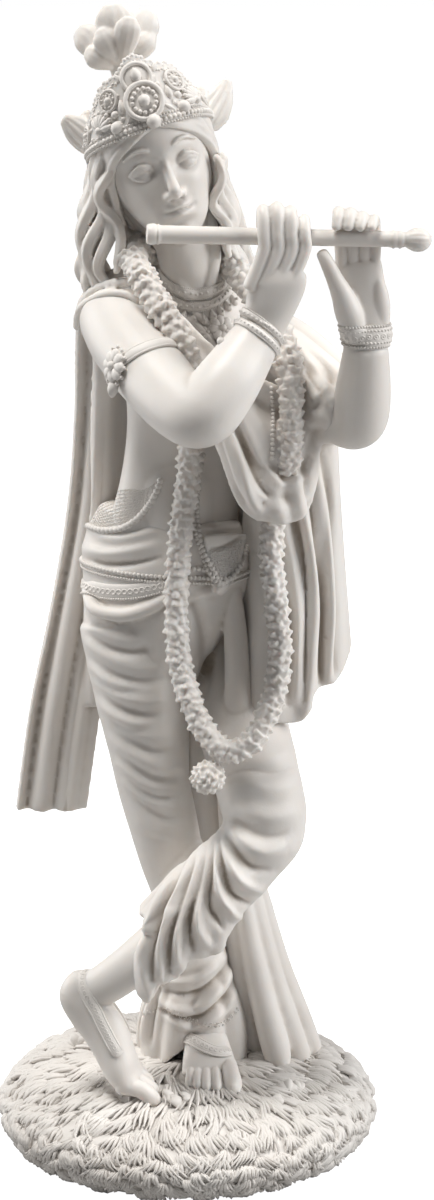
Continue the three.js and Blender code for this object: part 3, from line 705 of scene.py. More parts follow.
def lock(rows, wave, phase, ends=(0.6, 0.4)):
    """A lock of hair with fine strands, which swings from side to side as it falls."""
    run = np.linspace(0, 1, 40)
    dense = read_along(rows, run)
    swing = np.sin(np.pi * np.clip(run * 1.1, 0, 1)) ** 0.5
    curl = phase + run * 2 * np.pi * LOCK_WAVES
    dense[:, 0] += wave * np.sin(curl) * swing
    dense[:, 1] += 0.6 * wave * np.cos(curl) * swing
    return limb(dense.tolist(), 20, 80, ends=ends, relief=lambda t, angle: 0.16 * np.cos(5 * angle + 5 * t + phase))


def hair():
    """Fine waves over the skull, with locks that fall all round."""
    scalp = head_rows(
        (0, 4.5, -13, 9.6, 6.6), (0, 3.6, -4, 11.8, 10.4), (0, 2.5, 5, 12, 12), (0, 1.5, 12, 8.6, 9.6),
        (0, 1.4, 14.6, 5, 6),
    )
    forms = [limb(scalp, 144, 60, ends=(0.5, 0.4), relief=lambda t, angle: 0.3 * np.cos(23 * angle + 4 * t))]
    # Locks on the back of the head and down the back
    for n in range(BACK_LOCKS):
        angle = math.radians(-12 + 204 * (n / (BACK_LOCKS - 1)))
        x, y = 12 * math.cos(angle), 3 + 11.4 * math.sin(angle)
        foot_x, foot_y = 1 + 13.6 * math.cos(angle), 12.6 + 4.6 * math.sin(angle)
        rows = head_rows((x * 0.9, y * 0.9, 8, 1.3), (x, y, -1, 1.7), (x * 1.04, y * 1.06, -9, 1.8)) + [
            (foot_x * 0.9 - 1.5, foot_y * 0.98, 208, 1.9), (foot_x, foot_y + 1.4, 197, 1.8),
            (foot_x * 0.92, foot_y + 2.4, 186 + 4 * math.sin(n * 2.3), 0.9),
        ]
        forms.append(lock(rows, 1, n * 1.9))
    # Locks beside the face and over the shoulders, to the near side and then to the far side
    falls = [
        [
            (-15.4, -8.8, 231, 0.9), (-16, -8.6, 225, 1.1), (-17.2, -7, 219, 1.2), (-15.6, -6, 213.4, 1.2),
            (-14, -5.8, 207, 1.1), (-15, -6, 203, 0.7),
        ],
        [
            (-16.6, -8, 231, 1), (-17.6, -6.6, 224, 1.4), (-17.4, -5, 217, 1.4), (-17, -4, 210, 1.4),
            (-18, -3.6, 203, 1.2), (-16.6, -4, 199, 0.7),
        ],
        [
            (-18.4, -6.4, 229, 1), (-19, -4.6, 222, 1.4), (-18.6, -3, 215, 1.5), (-19.8, -2.4, 208, 1.5),
            (-20.6, -2, 202, 1.3), (-19, -2.2, 198, 0.7),
        ],
        [
            (-19.6, -4, 228, 1), (-20, -2.2, 221, 1.4), (-20.6, -0.8, 214, 1.5), (-22, -0.4, 207.4, 1.5),
            (-22.4, 0, 201, 1.2), (-20.6, -0.6, 197, 0.7),
        ],
        [
            (-20.4, -1.4, 226, 1.1), (-20.4, 0.4, 218, 1.5), (-21.6, 1.6, 211, 1.6), (-22.6, 2, 204, 1.5),
            (-21.4, 2.4, 198, 0.8),
        ],
        [
            (-20, 1.6, 226, 1.2), (-19.8, 3.6, 217, 1.6), (-20.8, 4.8, 209, 1.7), (-20.6, 6, 201, 1.5),
            (-18.4, 7, 195, 0.8),
        ],
        [(-19, 5, 226, 1.3), (-18.8, 7, 216, 1.7), (-19, 8, 208, 1.8), (-18, 9, 200, 1.6), (-16, 10, 193, 0.9)],
        [
            (6.8, -6.8, 228, 0.8), (7.4, -5.6, 222, 1), (7.4, -4.2, 216.4, 1.1), (8.6, -3, 211, 1.1),
            (9.6, -2.4, 206, 0.7),
        ],
        [
            (7.8, -4.6, 228, 1), (8.4, -3, 221, 1.3), (8.8, -1.6, 215, 1.3), (10.2, -0.4, 209.4, 1.3),
            (11.6, 0.4, 204, 0.8),
        ],
        [(8.2, -1.6, 227, 1), (8.6, 0, 220, 1.4), (9.8, 1.6, 213, 1.5), (11.6, 3, 206.6, 1.4), (12.4, 4, 200, 0.8)],
        [(8, 1.6, 226, 1.2), (8.2, 3.4, 218, 1.6), (10, 5, 210, 1.6), (12, 6.6, 203, 1.5), (12.8, 8, 196, 0.9)],
    ]
    for n, rows in enumerate(falls):
        forms.append(lock(rows, 1.35, n * 1.7 + 0.6))
    # Hair swept from the parting to both sides, under the crown's rim
    for sign in (-1, 1):
        for n in range(5):
            up = 0.9 * n
            rows = head_rows(
                ((0.4 + n * 0.3) * sign, -13.2 + n * 0.5, 7.4 + up, 0.7),
                ((4.8 + n * 0.8) * sign, -12.3 + n * 0.7, 6 + up, 1),
                ((8.9 + n * 0.5) * sign, -9.4 + n * 0.8, 3.2 + up * 1.2, 1.1),
                ((11.2 + n * 0.3) * sign, -5.4 + n * 0.9, -1.2 + up, 1.1),
                ((11.8 + n * 0.2) * sign, -2.6 + n, -7 + up, 1),
                ((11.4 + n * 0.2) * sign, -1 + n, -12 + up, 0.8),
            )
            forms.append(lock(rows, 0.3, n * 1.7 + sign))
    return thinned(fused("hair", forms, voxel=0.32, smooth=2), 0.37)


# Crown

RIM_FRONT = 7.4
RIM_DROP = 4.6  # how much lower it is at the sides, where the spread is 1
RIM_SPAN = 104  # degrees from the front to there
CROWN_WIDE = 13.4
CROWN_DEEP = 13.6
CROWN_LEAN = 0.02


def crown_point(spread, height, out=0.0):
    """A point on the crown: spread from -1 to 1 round the front, height above the rim."""
    spread, height = np.asarray(spread, float), np.asarray(height, float)
    angle = np.radians(-90 + spread * RIM_SPAN)
    rim = RIM_FRONT - RIM_DROP * spread**2
    lean = 1 - CROWN_LEAN * height
    wide, deep = CROWN_WIDE * lean + out, CROWN_DEEP * lean + out
    own = np.stack([wide * np.cos(angle), deep * np.sin(angle), rim + height + 0 * angle], axis=-1)
    return own @ HEAD_SET.T + HEAD_AT


def crown_spot(spread, height, out=0.0):
    """A place on the crown's front and its three directions: along the rim, up and out."""
    here = crown_point(spread, height)
    along = unit(crown_point(spread + 0.02, height) - crown_point(spread - 0.02, height))
    up = unit(crown_point(spread, height + 0.5) - here)
    outward = unit(np.cross(along, up))
    return here + outward * out, np.array([along, up, outward])


def on_spot(spot, mesh, shift=(0, 0, 0), turn=0.0):
    """A mesh drawn in x across, y up and z out, turned and shifted on a spot."""
    origin, axes = spot
    spin = np.array(Matrix.Rotation(turn, 3, "Z"))
    points = points_of(mesh) @ spin.T + shift
    return set_points(mesh, points @ axes + origin)


def drop_shape(wide, tall, thick=None):
    """A teardrop with its point up."""
    mesh = bead(1.0, 12)
    ball = points_of(mesh)
    narrow = 1 - 0.62 * step(-0.1, 1, ball[:, 1])
    ball = ball * [wide, tall, thick or wide]
    ball[:, 0] *= narrow
    return set_points(mesh, ball)


def rosette(spot, radius, dots, boss=0.34):
    """A raised ring round a circle of small beads and a boss, on a low disc."""
    disc = bead(1.0, 20)
    forms = [
        on_spot(spot, torus(radius, radius * 0.13 + 0.05), (0, 0, 0.5)),
        on_spot(spot, set_points(disc, points_of(disc) * [radius, radius, 0.75])),
        on_spot(spot, bead(radius * boss, 14), (0, 0, 0.75)),
    ]
    for angle in angles_round(dots):
        forms.append(on_spot(spot, bead(radius * 0.13), polar(angle, radius * 0.66, 0.8)))
    return forms


def flower(spot, radius, petals=6):
    """A small open flower of round petals with a boss."""
    forms = [on_spot(spot, bead(radius * 0.3, 10), (0, 0, radius * 0.3))]
    for angle in angles_round(petals):
        petal = drop_shape(radius * 0.4, radius * 0.5, radius * 0.26)
        forms.append(on_spot(spot, petal, polar(angle, radius * 0.58, radius * 0.14), angle + math.pi / 2))
    return forms


def shell(spot, radius, ribs, turn=0.0):
    """A fan of ribs like a scallop shell."""
    forms = []
    for n in range(ribs):
        angle = turn + math.radians(-66 + 132 * n / (ribs - 1))
        shift = (radius * 0.5 * math.sin(angle), radius * 0.5 * math.cos(angle), 0.35)
        forms.append(on_spot(spot, drop_shape(radius * 0.2, radius * 0.52), shift, math.pi - angle))
        tip = (radius * math.sin(angle), radius * math.cos(angle), 0.3)
        forms.append(on_spot(spot, bead(radius * 0.16), tip))
    forms.append(on_spot(spot, bead(radius * 0.24, 10), (0, -0.1, 0.6)))
    return forms


def crown_outline(spread):
    """How high the crown stands above its rim: a tall middle, a shoulder at each side, and scallops."""
    away = np.abs(spread)
    gable = 4.4 + 8.8 * np.exp(-((away / 0.27) ** 2)) + 4.6 * np.exp(-(((away - 0.42) / 0.2) ** 2))
    return (gable + 0.7 * np.abs(np.cos(spread * 11 * np.pi))) * step(1.15, 0.85, away) + 1.4


def crown():
    """An outlined band round the front with a rolled rim, a lower band behind, two fans and a plume."""

    def band(u, v):
        spread = (u - 0.5) * 2.2
        return crown_point(spread, crown_outline(spread) * (1 - v))

    def back_band(u, v):
        angle = np.radians(14 + u * 152)
        own = np.stack([12.9 * np.cos(angle), 13.1 * np.sin(angle) + 0.3, 2.9 + 3.4 * (1 - v)], axis=-1)
        return own @ HEAD_SET.T + HEAD_AT

    base = [cloth(band, 120, 30, 1.9), cloth(back_band, 80, 12, 1.6)]
    base.append(cord([crown_point(s, 0.3, 0.3) for s in np.linspace(-1.08, 1.08, 24)], 0.7, 12, 120))
    return thinned(fused("crown", base + side_fans() + plume(), voxel=0.3, smooth=3), 0.44)


def side_fans():
    """A leaf-shaped fan behind each side of the crown."""
    petals = [
        ([
            (-18, 1, 228.6, 2.6, 1.5), (-20.4, 2, 230.6, 4, 1.5), (-23.4, 3, 232.8, 3.7, 1.3),
            (-26.2, 3.6, 235.2, 1.4, 0.8),
        ], (-0.5, 0, 0.86)),
        ([(-18, 2, 230, 2, 1.2), (-19.8, 2.4, 233.4, 2.4, 1.2), (-21.6, 2.8, 236.6, 1, 0.7)], (-0.86, 0, 0.5)),
        ([
            (4.6, 2, 234.2, 3, 1.6), (6, 2.8, 237, 3.9, 1.5), (7.8, 4, 240, 3, 1.2), (9.4, 5.4, 243.4, 0.8, 0.6),
        ], (1, 0, -0.4)),
        ([(3, 2, 235, 1.8, 1.2), (3.2, 2.6, 238.6, 2.2, 1.2), (3.4, 3.4, 242, 0.9, 0.6)], (1, 0, 0)),
    ]
    return [limb(rows, 56, 40, side=side, relief=lambda t, angle: 0.25 * np.cos(angle * 14)) for rows, side in petals]


def plume():
    """Feather lobes that fan out from a stem, each full, cupped and lined."""

    def rays(t, angle):
        return 0.09 * np.cos(angle * 12) * np.clip(t * 1.4, 0, 1)

    root = np.array([-13.8, 1.6, 246.4])
    forms = [limb([(-11.8, 2.4, 238, 3.2, 2.4), (-12.8, 2, 243, 2.6, 2.2), (-13.6, 1.6, 247.6, 3, 2.2)], 24, 30)]
    lobes = [
        (-50, 11.6, 3.3, 1.4), (-66, 7.6, 2.6, -0.4), (-7, 12.8, 4.1, -0.4), (28, 12.8, 3.8, 1), (12, 10.4, 2.8, -2),
        (-27, 8.6, 2.8, -1.4), (44, 9.4, 2.8, 0.2),
    ]
    for lean, reach, wide, front in lobes:
        angle = math.radians(lean)
        way = np.array([math.sin(angle), 0.05 * front, math.cos(angle)])
        rows = []
        for run, share, thick in ((0, 0.35, 1), (0.3, 0.66, 1.3), (0.6, 0.98, 1.6), (0.85, 0.98, 1.5), (1, 0.62, 0.9)):
            middle = root + way * reach * run + np.array([0, front * (0.4 + run) - 0.9 * math.sin(run * 3), 0])
            rows.append(tuple(middle) + (wide * share, thick))
        side = (math.cos(angle), 0, -math.sin(angle))
        forms.append(limb(rows, 60, 50, side=side, ends=(0.3, 0.9), relief=rays))
    return forms


def crown_jewels():
    """Rosettes, shells, drops and beads. Those off the middle are paired."""
    forms = rosette(crown_spot(-0.02, 5.1, 1.3), 3.9, 14) + rosette(crown_spot(-0.02, 10.2, 0.7), 3.1, 0, 0.2)

    def set_in(spread, height, out, mesh, turn=0.0):
        forms.append(on_spot(crown_spot(spread, height, out), mesh, turn=turn))

    set_in(-0.02, 10.7, 1.4, drop_shape(1.25, 1.8))
    set_in(0, 0.6, 1.5, bead(1.6, 16))
    drops = [(0.13, 9, 0.7), (0.18, 2.6, 2.3), (0.43, 5.6, 0.9), (0.63, 5.6, -0.6), (0.2, 11.4, 0.5)]
    dots = [(0.1, 7.6), (0.16, 7.8), (0.25, 8), (0.24, 3.2), (0.4, 3.9), (0.62, 1.9), (0.64, 3.9), (0.84, 5)]
    for sign in (-1, 1):
        set_in(0.31 * sign, 1.9, 1.0, bead(1.45, 14))
        set_in(0.23 * sign, 5.6, 1.0, drop_shape(0.85, 1.6))
        set_in(0.31 * sign, 4.6, 0.9, bead(0.9, 12))
        forms += rosette(crown_spot(0.35 * sign, 7.8, 0.7), 2.2, 9)
        forms += shell(crown_spot(0.5 * sign, 2.9, 0.8), 3.6, 7, -0.5 * sign)
        forms += rosette(crown_spot(0.74 * sign, 3.6, 0.7), 1.8, 8)
        forms += shell(crown_spot(0.9 * sign, 2.4, 0.7), 2.6, 6, -0.4 * sign)
        for away, height, turn in drops:
            set_in(away * sign, height, 0.75, drop_shape(0.6, 1.3), -turn * sign)
        for away, height in dots:
            set_in(away * sign, height, 0.85, bead(0.55))
    # Three strings of beads round the rim, and two along the outline
    for height, out, radius in ((1.75, 1.0, 0.34), (0.75, 1.1, 0.55), (-0.25, 0.95, 0.34)):
        rim = [crown_point(s, height, out) for s in np.linspace(-1.06, 1.06, 120)]
        forms.append(beads_along(rim, radius, radius * 2.05))
    for below, out, radius, pitch in ((0.2, 0.5, 0.6, 1.15), (1.4, 0.95, 0.34, 0.8)):
        edge = [crown_point(s, crown_outline(s) - below, out) for s in np.linspace(-1.0, 1.0, 160)]
        forms.append(beads_along(edge, radius, pitch))
    return fused("crown_jewels", forms)


# Dhoti

STANDING = [
    (-12, 3.5, 122, 12.4, 12), (-10.8, 2, 112, 11.6, 11.4), (-9.8, 1, 103, 10.6, 10.8), (-8.7, 0, 94, 9.4, 9.8),
    (-7.6, -0.5, 84.6, 8.4, 9), (-5.4, -1, 75, 7.9, 8.4), (-3.4, 0, 66, 7.4, 8), (-1.2, 1.5, 57, 6.8, 7.6),
    (0.6, 3, 47, 7, 7.6), (1.6, 4, 39, 7.4, 7.6),
]
THIGH = [
    (7.2, 15, 124, 11, 7.6), (8, 13.4, 117, 11, 8), (10, 8, 107, 11, 9.4), (13, -1.6, 98, 10.4, 10.4),
    (16.2, -10, 88, 9.8, 9.8), (18.2, -12.8, 80, 9.2, 9.2), (18.4, -13.2, 75, 7, 7.6),
]
SHIN = [
    (20.4, -12, 85, 6, 6.4), (18.2, -13.6, 78.6, 9, 9), (13.8, -15.4, 72.4, 9, 8.4), (8, -16.6, 66.6, 9, 8.6),
    (1.4, -17.4, 60.8, 8.8, 8.4), (-4.6, -17.8, 55.2, 8.2, 7.8), (-9.2, -18, 50.8, 7.4, 7),
]


def dhoti():
    """Cloth round the hips and both legs, a sash in front of the far thigh and a rolled belt."""
    hips = [
        (-3.6, 3.5, 147, 16.4, 10.6, 16), (-4.2, 3.5, 141, 18.8, 11.8, 14), (-4.8, 3.5, 135, 19.6, 12.4, 14),
        (-6.6, 3.5, 127, 17.6, 12.8, 13), (-8.6, 3.6, 118, 15, 12.2, 10), (-9.8, 4, 108, 12, 10.8, 8),
    ]
    behind = [(2, 9, 142, 15, 8), (4, 12, 126, 14, 6.4), (6, 11.4, 112, 12, 6.4), (8, 8, 98, 10, 8)]
    forms = [
        limb(hips, 64, 80, ends=(0.1, 0.4)),
        limb(behind, 48, 60, ends=(0.2, 0.4)),
        limb(STANDING, 64, 120, ends=(0.2, 0.1)),
        limb(THIGH, 56, 100, ends=(0.3, 0.5)),
        limb([
            (9.6, -3, 137, 1.6, 2), (10.4, -3.8, 130, 2.2, 2.4), (11.2, -4.6, 121, 2.7, 2.7),
            (11.7, -5.8, 112, 3, 2.8), (11.8, -7.4, 102.4, 3.4, 2.8),
        ], 24, 40, ends=(0.6, 0.15)),
        limb([(-22.6, 1, 130, 1.2), (-20.6, -5, 127.2, 1.4), (-14.4, -8.2, 126.6, 1.5), (-8, -9.4, 128.6, 1.4),
              (-3, -9.4, 131.4, 1.1), (4, -7.8, 133.2, 1), (11, -5, 137, 0.8)], 16, 80),
        shin_sleeve(),
        cloth(shin_curtain, 160, 60, 1.8),
        ankle_skirt(),
        cloth(lace_apron, 60, 30, 1.3),
    ]
    return fused("dhoti", forms, voxel=0.48, smooth=4)


def lace_apron(u, v):
    """The small lace-filled panel that hangs in the bow of the right-hand beads."""
    top = [(4, -9, 145), (9, -7.8, 145.4), (13.4, -5, 144.6)]
    foot = [(5.4, -9.6, 135.6), (7.9, -9.4, 131.4), (12, -6.6, 136.4)]
    return hung(top, foot, u, v)


def shin_sleeve():
    """The cloth over the crossing shin, open at its end."""
    path = Path(SHIN, side=(0, -1, 0))

    def drawn(u, v):
        angle = 2 * np.pi * u * 1.02
        hem = 0.9 + 0.012 * np.cos(angle * 9) - 0.05 * np.sin(angle + 0.5)
        flare = step(0.5, 1, v)
        ridges = 0.3 * fold_wave(angle / (2 * np.pi) * 9 + 0.5 * v) * flare
        over = np.clip(v * hem - 1, 0, 1) * 40
        return path.at(v * hem, angle, ridges - 0.9 + flare * 0.3, 1.0, over / 8)

    return cloth(drawn, 180, 100, 1.7)


def shin_curtain(u, v):
    """The cloth that hangs from the front of the crossing shin, down to its scalloped hem."""
    upper = [(-6.4, -23, 57.6), (-4, -24.6, 62), (2, -24.8, 66), (8, -23.6, 70), (12, -21.6, 72)]
    hem = [
        (-11.6, -18, 50), (-11.3, -20, 46.2), (-10.6, -21.4, 41.8), (-8.4, -22, 40.2), (-6.8, -22.4, 43.4),
        (-3.7, -23, 46.2), (-2, -23, 46.6), (0.5, -23.4, 50.6), (4.6, -23, 51.4), (7.7, -22.4, 52.6),
        (9.2, -21.6, 56.2), (12.4, -18.6, 60.8),
    ]
    line = hung(upper, hem, u, v)
    line[:, 1] -= 2.2 * np.sin(np.pi * np.clip(v * 0.9, 0, 1)) + 0.3 * fold_wave(8.5 * u + 0.2) * v
    line[:, 0] -= 0.8 * np.sin(np.pi * v) * (1 - u)
    return line


SKIRT_TOP = 46
SKIRT_HEM = 13
SKIRT_ARCH = 8.8


def ankle_skirt():
    """The cloth round the standing ankle. Its hem arches over the foot."""

    def drawn(u, v):
        angle = np.pi * (-1.02 + 2.04 * u) - np.pi / 2
        front = angle + np.pi / 2
        hem = SKIRT_HEM + SKIRT_ARCH * np.exp(-(((front - 0.02) / 0.6) ** 2))
        z = SKIRT_TOP + (hem - SKIRT_TOP) * v
        flare = step(46, 20, z)
        fold = fold_wave(front / (2 * np.pi) * 9 + 0.25 + 0.35 * v)
        wide = 7 + 5.2 * flare + 0.8 * fold * flare
        deep = 7.2 + 2 * flare + 0.8 * fold * flare
        x = 0.8 + 0.9 * flare + wide * np.cos(angle)
        y = 3 + 1.4 * flare + deep * np.sin(angle)
        return np.stack([x, y, z], axis=-1)

    return cloth(drawn, 150, 70, 1.7)


# Folds as the eye sees them: path, width and height, in millimetres
DHOTI_STROKES = [
    # The fan from behind the pendant down to the hem
    ([(2.6, 69), (-3.6, 60.5), (-8.4, 50.5), (-10.4, 41), (-9.4, 33.6)], 1.4, 1.9),
    ([(3.6, 69.5), (-0.6, 61), (-4.6, 51.5), (-6.4, 42.5), (-6, 35)], 1.1, 1.8),
    ([(5, 71), (1.8, 62), (-1.6, 52.5), (-2.6, 44), (-1.6, 39)], 1.15, 2),
    ([(6.2, 73), (4.2, 64), (2.4, 55), (2.9, 48), (5.2, 44.4)], 1.2, 2),
    ([(7.4, 75), (6.8, 66), (7.4, 58), (10.2, 52.6), (13.6, 51)], 1.3, 2),
    ([(8.2, 74), (9.4, 66.5), (12.6, 60.4), (17.6, 58)], 1.4, 1.7),
    ([(8.6, 77), (11.6, 71.6), (17, 67.8), (23.4, 68.4)], 2, 1.3),
    ([(8.4, 80), (13.4, 77.4), (20, 76), (25.6, 77.4)], 2.2, 0.8),
    ([(1, 67), (-4, 56), (-7.8, 45), (-8.2, 36)], 0.7, -1.7),
    ([(3.2, 67), (-0.6, 56), (-3.8, 46), (-4.2, 38)], 0.7, -1.9),
    ([(5.4, 70), (3, 59), (0.6, 50), (1.6, 43)], 0.75, -1.9),
    ([(7, 72), (5.8, 62), (5.6, 54), (8.4, 48.6)], 0.75, -1.9),
    ([(8, 73), (8.2, 64), (10.4, 57.2), (15, 54.4)], 0.8, -1.8),
    ([(8.6, 75.4), (10.4, 69), (14.8, 64), (20.4, 63)], 1.3, -1.2),
    ([(8.6, 79), (12.4, 74.2), (18.4, 71.6), (24.6, 72.4)], 1.6, -0.8),
    # Folds that cross the far thigh above the knee
    ([(7.4, 83), (13, 84), (20, 83), (25.6, 84.6)], 2, 0.6),
    ([(8.4, 89), (14, 90.6), (21, 91), (26, 93)], 2.2, 0.5),
    ([(8, 86), (13.6, 87.6), (20.4, 87.2), (25.8, 88.6)], 1, -0.5),
    # Soft rolls over the hip, above and below the beads
    ([(-23.4, 140.4), (-18.2, 138.9), (-12.6, 139.4), (-6, 140.8)], 1.2, 0.8),
    ([(-23, 137.6), (-18, 136.4), (-12, 136.6), (-6, 137.8)], 0.8, -0.9),
    ([(-21.6, 144), (-16, 142.2), (-10.4, 143), (-6, 144.4)], 1, 0.6),
    ([(-6.6, 122.6), (-2, 126.4), (4, 129.3), (8.1, 130.7), (11.3, 133.1)], 1, 0.7),
    ([(5, 139.6), (8.1, 140.1), (11.3, 141.7), (13.3, 143.5)], 0.6, -0.7),
    ([(0.4, 128.6), (3.4, 121.6), (5, 113), (3.6, 104)], 1.6, -1.4),
    # Swirls of the cloth round the standing ankle
    ([(11.4, 41.3), (8.2, 34.5), (3, 29.4), (-2.2, 28.2), (-6.4, 30.7)], 1.3, 1.6),
    ([(11.7, 36.6), (8.6, 31), (3.6, 26.8), (-1.4, 25.8), (-6, 28.6)], 0.7, -1.3),
    ([(11.7, 33.2), (8.9, 28.2), (4.2, 24.6), (-0.5, 23.8), (-5.2, 26.6)], 0.9, 0.8),
    ([(9.6, 43), (5, 38), (-1, 35.4), (-6, 36)], 1, 1.1),
    ([(10.8, 41.6), (6.6, 35.6), (1, 32.2), (-4.4, 32.8)], 0.7, -1.2),
    ([(-8.8, 32), (-10.4, 25.6), (-11.4, 19)], 0.9, 1.2),
    ([(-6.4, 34.5), (-8.3, 27), (-8.8, 19.5)], 0.8, -1.4),
]


def bows_of_thigh():
    """Soft bows across the standing thigh: a crease, a full fold above it and a slack one below."""
    creases = [
        ([(-25, 122), (-18.6, 117.4), (-12.8, 115.8), (-8, 116.4)], 1, 1.1),
        ([(-23.8, 116), (-17.4, 111), (-11.3, 109), (-4.4, 109.6)], 1.1, 1),
        ([(-22.8, 111.4), (-19, 108.2), (-15, 106.4), (-11, 106)], 0.7, 0.7),
        ([(-21.6, 107.6), (-16, 103), (-10, 101), (-5, 101.4)], 1.1, 1.1),
        ([(-20, 101.6), (-16.4, 98.8), (-12.4, 97.2), (-9, 97)], 0.7, 0.6),
        ([(-19.2, 99), (-13.2, 94.6), (-7.8, 92.4), (-2.6, 92.8)], 1.2, 1),
        ([(-17, 92), (-11.2, 87.6), (-6.4, 85.4), (-1.6, 85.8)], 1, 1),
        ([(-15.4, 87), (-11.4, 83.2), (-7.4, 81), (-3.4, 80.8)], 0.8, 0.7),
        ([(-13.8, 82), (-9.4, 78.2), (-5.1, 76), (-1, 76)], 1, 0.7),
        ([(-12.4, 73), (-8.6, 70.6), (-5.1, 70)], 0.9, 0.5),
    ]
    marks = []
    for line, wide, deep in creases:
        line = np.array(line)
        marks += [
            (line, 1.3 * wide, -0.5 * deep),
            (line + [0.2, 2.6 * wide], 1.6 * wide, 0.42 * deep),
            (line - [0.2, 1.9 * wide], 1.1 * wide, 0.15 * deep),
        ]
    return marks


# Shawl


def shawl():
    """A cape down the back, with a long end at the near side, a swag in front and a train down to the grass."""

    def long_end(u, v):
        outer = [
            (-22, -1, 196), (-24.4, 9, 188), (-25.4, 15, 168), (-27.4, 18, 146), (-31.6, 19.4, 122), (-37, 19.6, 97),
            (-40.8, 19.6, 71.6),
        ]
        inner = [
            (-10, 3, 198.6), (-10, 13, 192), (-10, 16, 170), (-12, 17.6, 147), (-17, 18.6, 124), (-21, 18.6, 98),
            (-24.8, 18.6, 71.6),
        ]
        line = hung(outer, inner, v, u)
        line[:, 1] -= 1.5 * fold_wave(2.6 * u + 0.1) * np.clip(v * 2, 0, 1)
        return line

    def cape(u, v):
        top = [(-20, 4, 195), (-8, 11, 196), (4, 13, 195), (16, 15, 191), (25, 14, 184)]
        foot = [(-23, 17, 98), (-10, 20.4, 98), (4, 21.4, 99), (20, 19.6, 102), (33, 12, 112)]
        line = hung(top, foot, u, v)
        line[:, 1] += 3.2 * np.sin(np.pi * v) * np.sin(np.pi * u) + 1.5 * fold_wave(7 * u + 0.3 * v) * (0.25 + 0.75 * v)
        return line

    def far_side(u, v):
        top = [(13, 2, 148), (20, -5, 158), (27, -6, 169), (32, -4, 174.6), (31.4, 4, 181), (25.4, 13, 185)]
        foot = [
            (12, 2, 104.4), (17, -8.5, 102.6), (26, -8, 101.6), (28.4, -5, 107.6), (33.6, -1, 109.6), (36.8, 6, 115),
            (34, 13, 112.6),
        ]
        line = hung(top, foot, u, v)
        line[:, 1] -= 0.8 * fold_wave(4 * u + 0.3) * (0.35 + 0.65 * v)
        return line

    def swag(u, v):
        upper = [
            (-1, -12.6, 195), (11, -15, 184), (17.6, -13, 180.6), (21.6, -10.6, 178.6), (24.6, -8.4, 179),
            (26.2, -5, 181), (25.4, 4, 187),
        ]
        lower = [
            (-6, -10.6, 191), (6.6, -16.6, 168), (12, -18.4, 153.6), (19.6, -18, 149.4), (25.8, -15, 150.6),
            (28.6, -9, 161), (30, 0, 177),
        ]
        line = hung(upper, lower, u, v)
        line[:, 1] -= 1.7 * np.sin(np.pi * v) + 1.1 * fold_wave(2.5 * v)
        return line

    def train(u, v):
        top = [(-8, 13, 112), (0, 15, 112), (6, 14, 112), (11, 12, 112)]
        foot = [(-4, 16, 15), (6, 17, 15), (18, 12, 15), (27, 9, 15)]
        line = hung(top, foot, u, v)
        line[:, 0] -= 5.6 * np.sin(np.pi * v) * u
        line[:, 1] -= 2.4 * fold_wave(3 * u + 0.4) * v
        return line

    # Rolls of the train beside the standing leg, from the thigh down to the grass
    rolls = [
        [
            (9, 10, 100, 1.2, 2), (11, 7, 80, 1.7, 2.4), (12.4, 4, 62, 2, 2.6), (14.6, 3, 46, 2.6, 3),
            (18, 1, 30, 3.2, 3.4), (21, -1.6, 18.6, 3.4, 3.2), (21.6, -2.2, 15, 2.6, 2.4),
        ],
        [
            (11, 11, 100, 1.2, 2), (13, 8.6, 80, 1.7, 2.6), (14.4, 6, 62, 2, 3), (17, 6, 48, 2.4, 3),
            (20.6, 5, 34, 2.6, 3.2), (24.4, 3.6, 22, 2.8, 3.2), (26.4, 3.4, 15, 3, 3),
        ],
        [
            (12, 13, 100, 1.2, 2), (14, 11, 80, 1.6, 2.6), (15.6, 8.6, 62, 1.8, 3), (18.4, 9, 50, 2, 3),
            (22.6, 8.6, 36, 2, 3), (27, 8, 24, 2.2, 3), (29.6, 7.6, 15.4, 2.6, 3.2),
        ],
        [
            (8, 12, 98, 2, 2), (9.6, 9, 78, 2.6, 2.6), (11, 6, 60, 3, 3), (12.6, 6, 40, 4, 4), (15, 6, 24, 5, 4),
            (16, 6, 15, 5, 4),
        ],
    ]
    # The cloth's rolled edges over the near shoulder
    rolls += [
        [
            (-24.2, 4, 189.4, 1), (-22.8, -2, 194.6, 1.1), (-18.2, -6.2, 198, 1.1), (-13, -8, 198.6, 1.1),
            (-9.6, -9.4, 197, 1),
        ],
        [(-24, 6, 191, 1), (-22.2, 0.6, 196.4, 1.1), (-17.4, -4, 200, 1.1), (-12, -6, 201, 1.1)],
        [(-23, 9, 192.6, 1.2), (-20.8, 4, 198.4, 1.3), (-15.6, -1, 202, 1.3), (-11, -3, 203, 1.2)],
    ]

    def gathers(t, angle):
        return 0.8 * fold_wave(1.1 * angle + 0.7 * t) * np.clip(0.5 + t, 0, 1)

    wrap = [
        (15.5, 11, 185.4, 8.4), (21, 6, 182.4, 9), (25.6, 0.4, 179.4, 9), (29.6, -5, 176.4, 8.8), (33, -9.4, 174, 8.3),
        (35, -11.8, 173, 7.4),
    ]

    forms = [
        cloth(long_end, 90, 130), cloth(cape, 120, 120), cloth(far_side, 120, 100), cloth(swag, 100, 70),
        cloth(train, 90, 100, 3.4), limb(wrap, 90, 80, relief=gathers), *(limb(roll, 20, 60) for roll in rolls),
    ]
    return fused("shawl", forms, voxel=0.56, smooth=5)


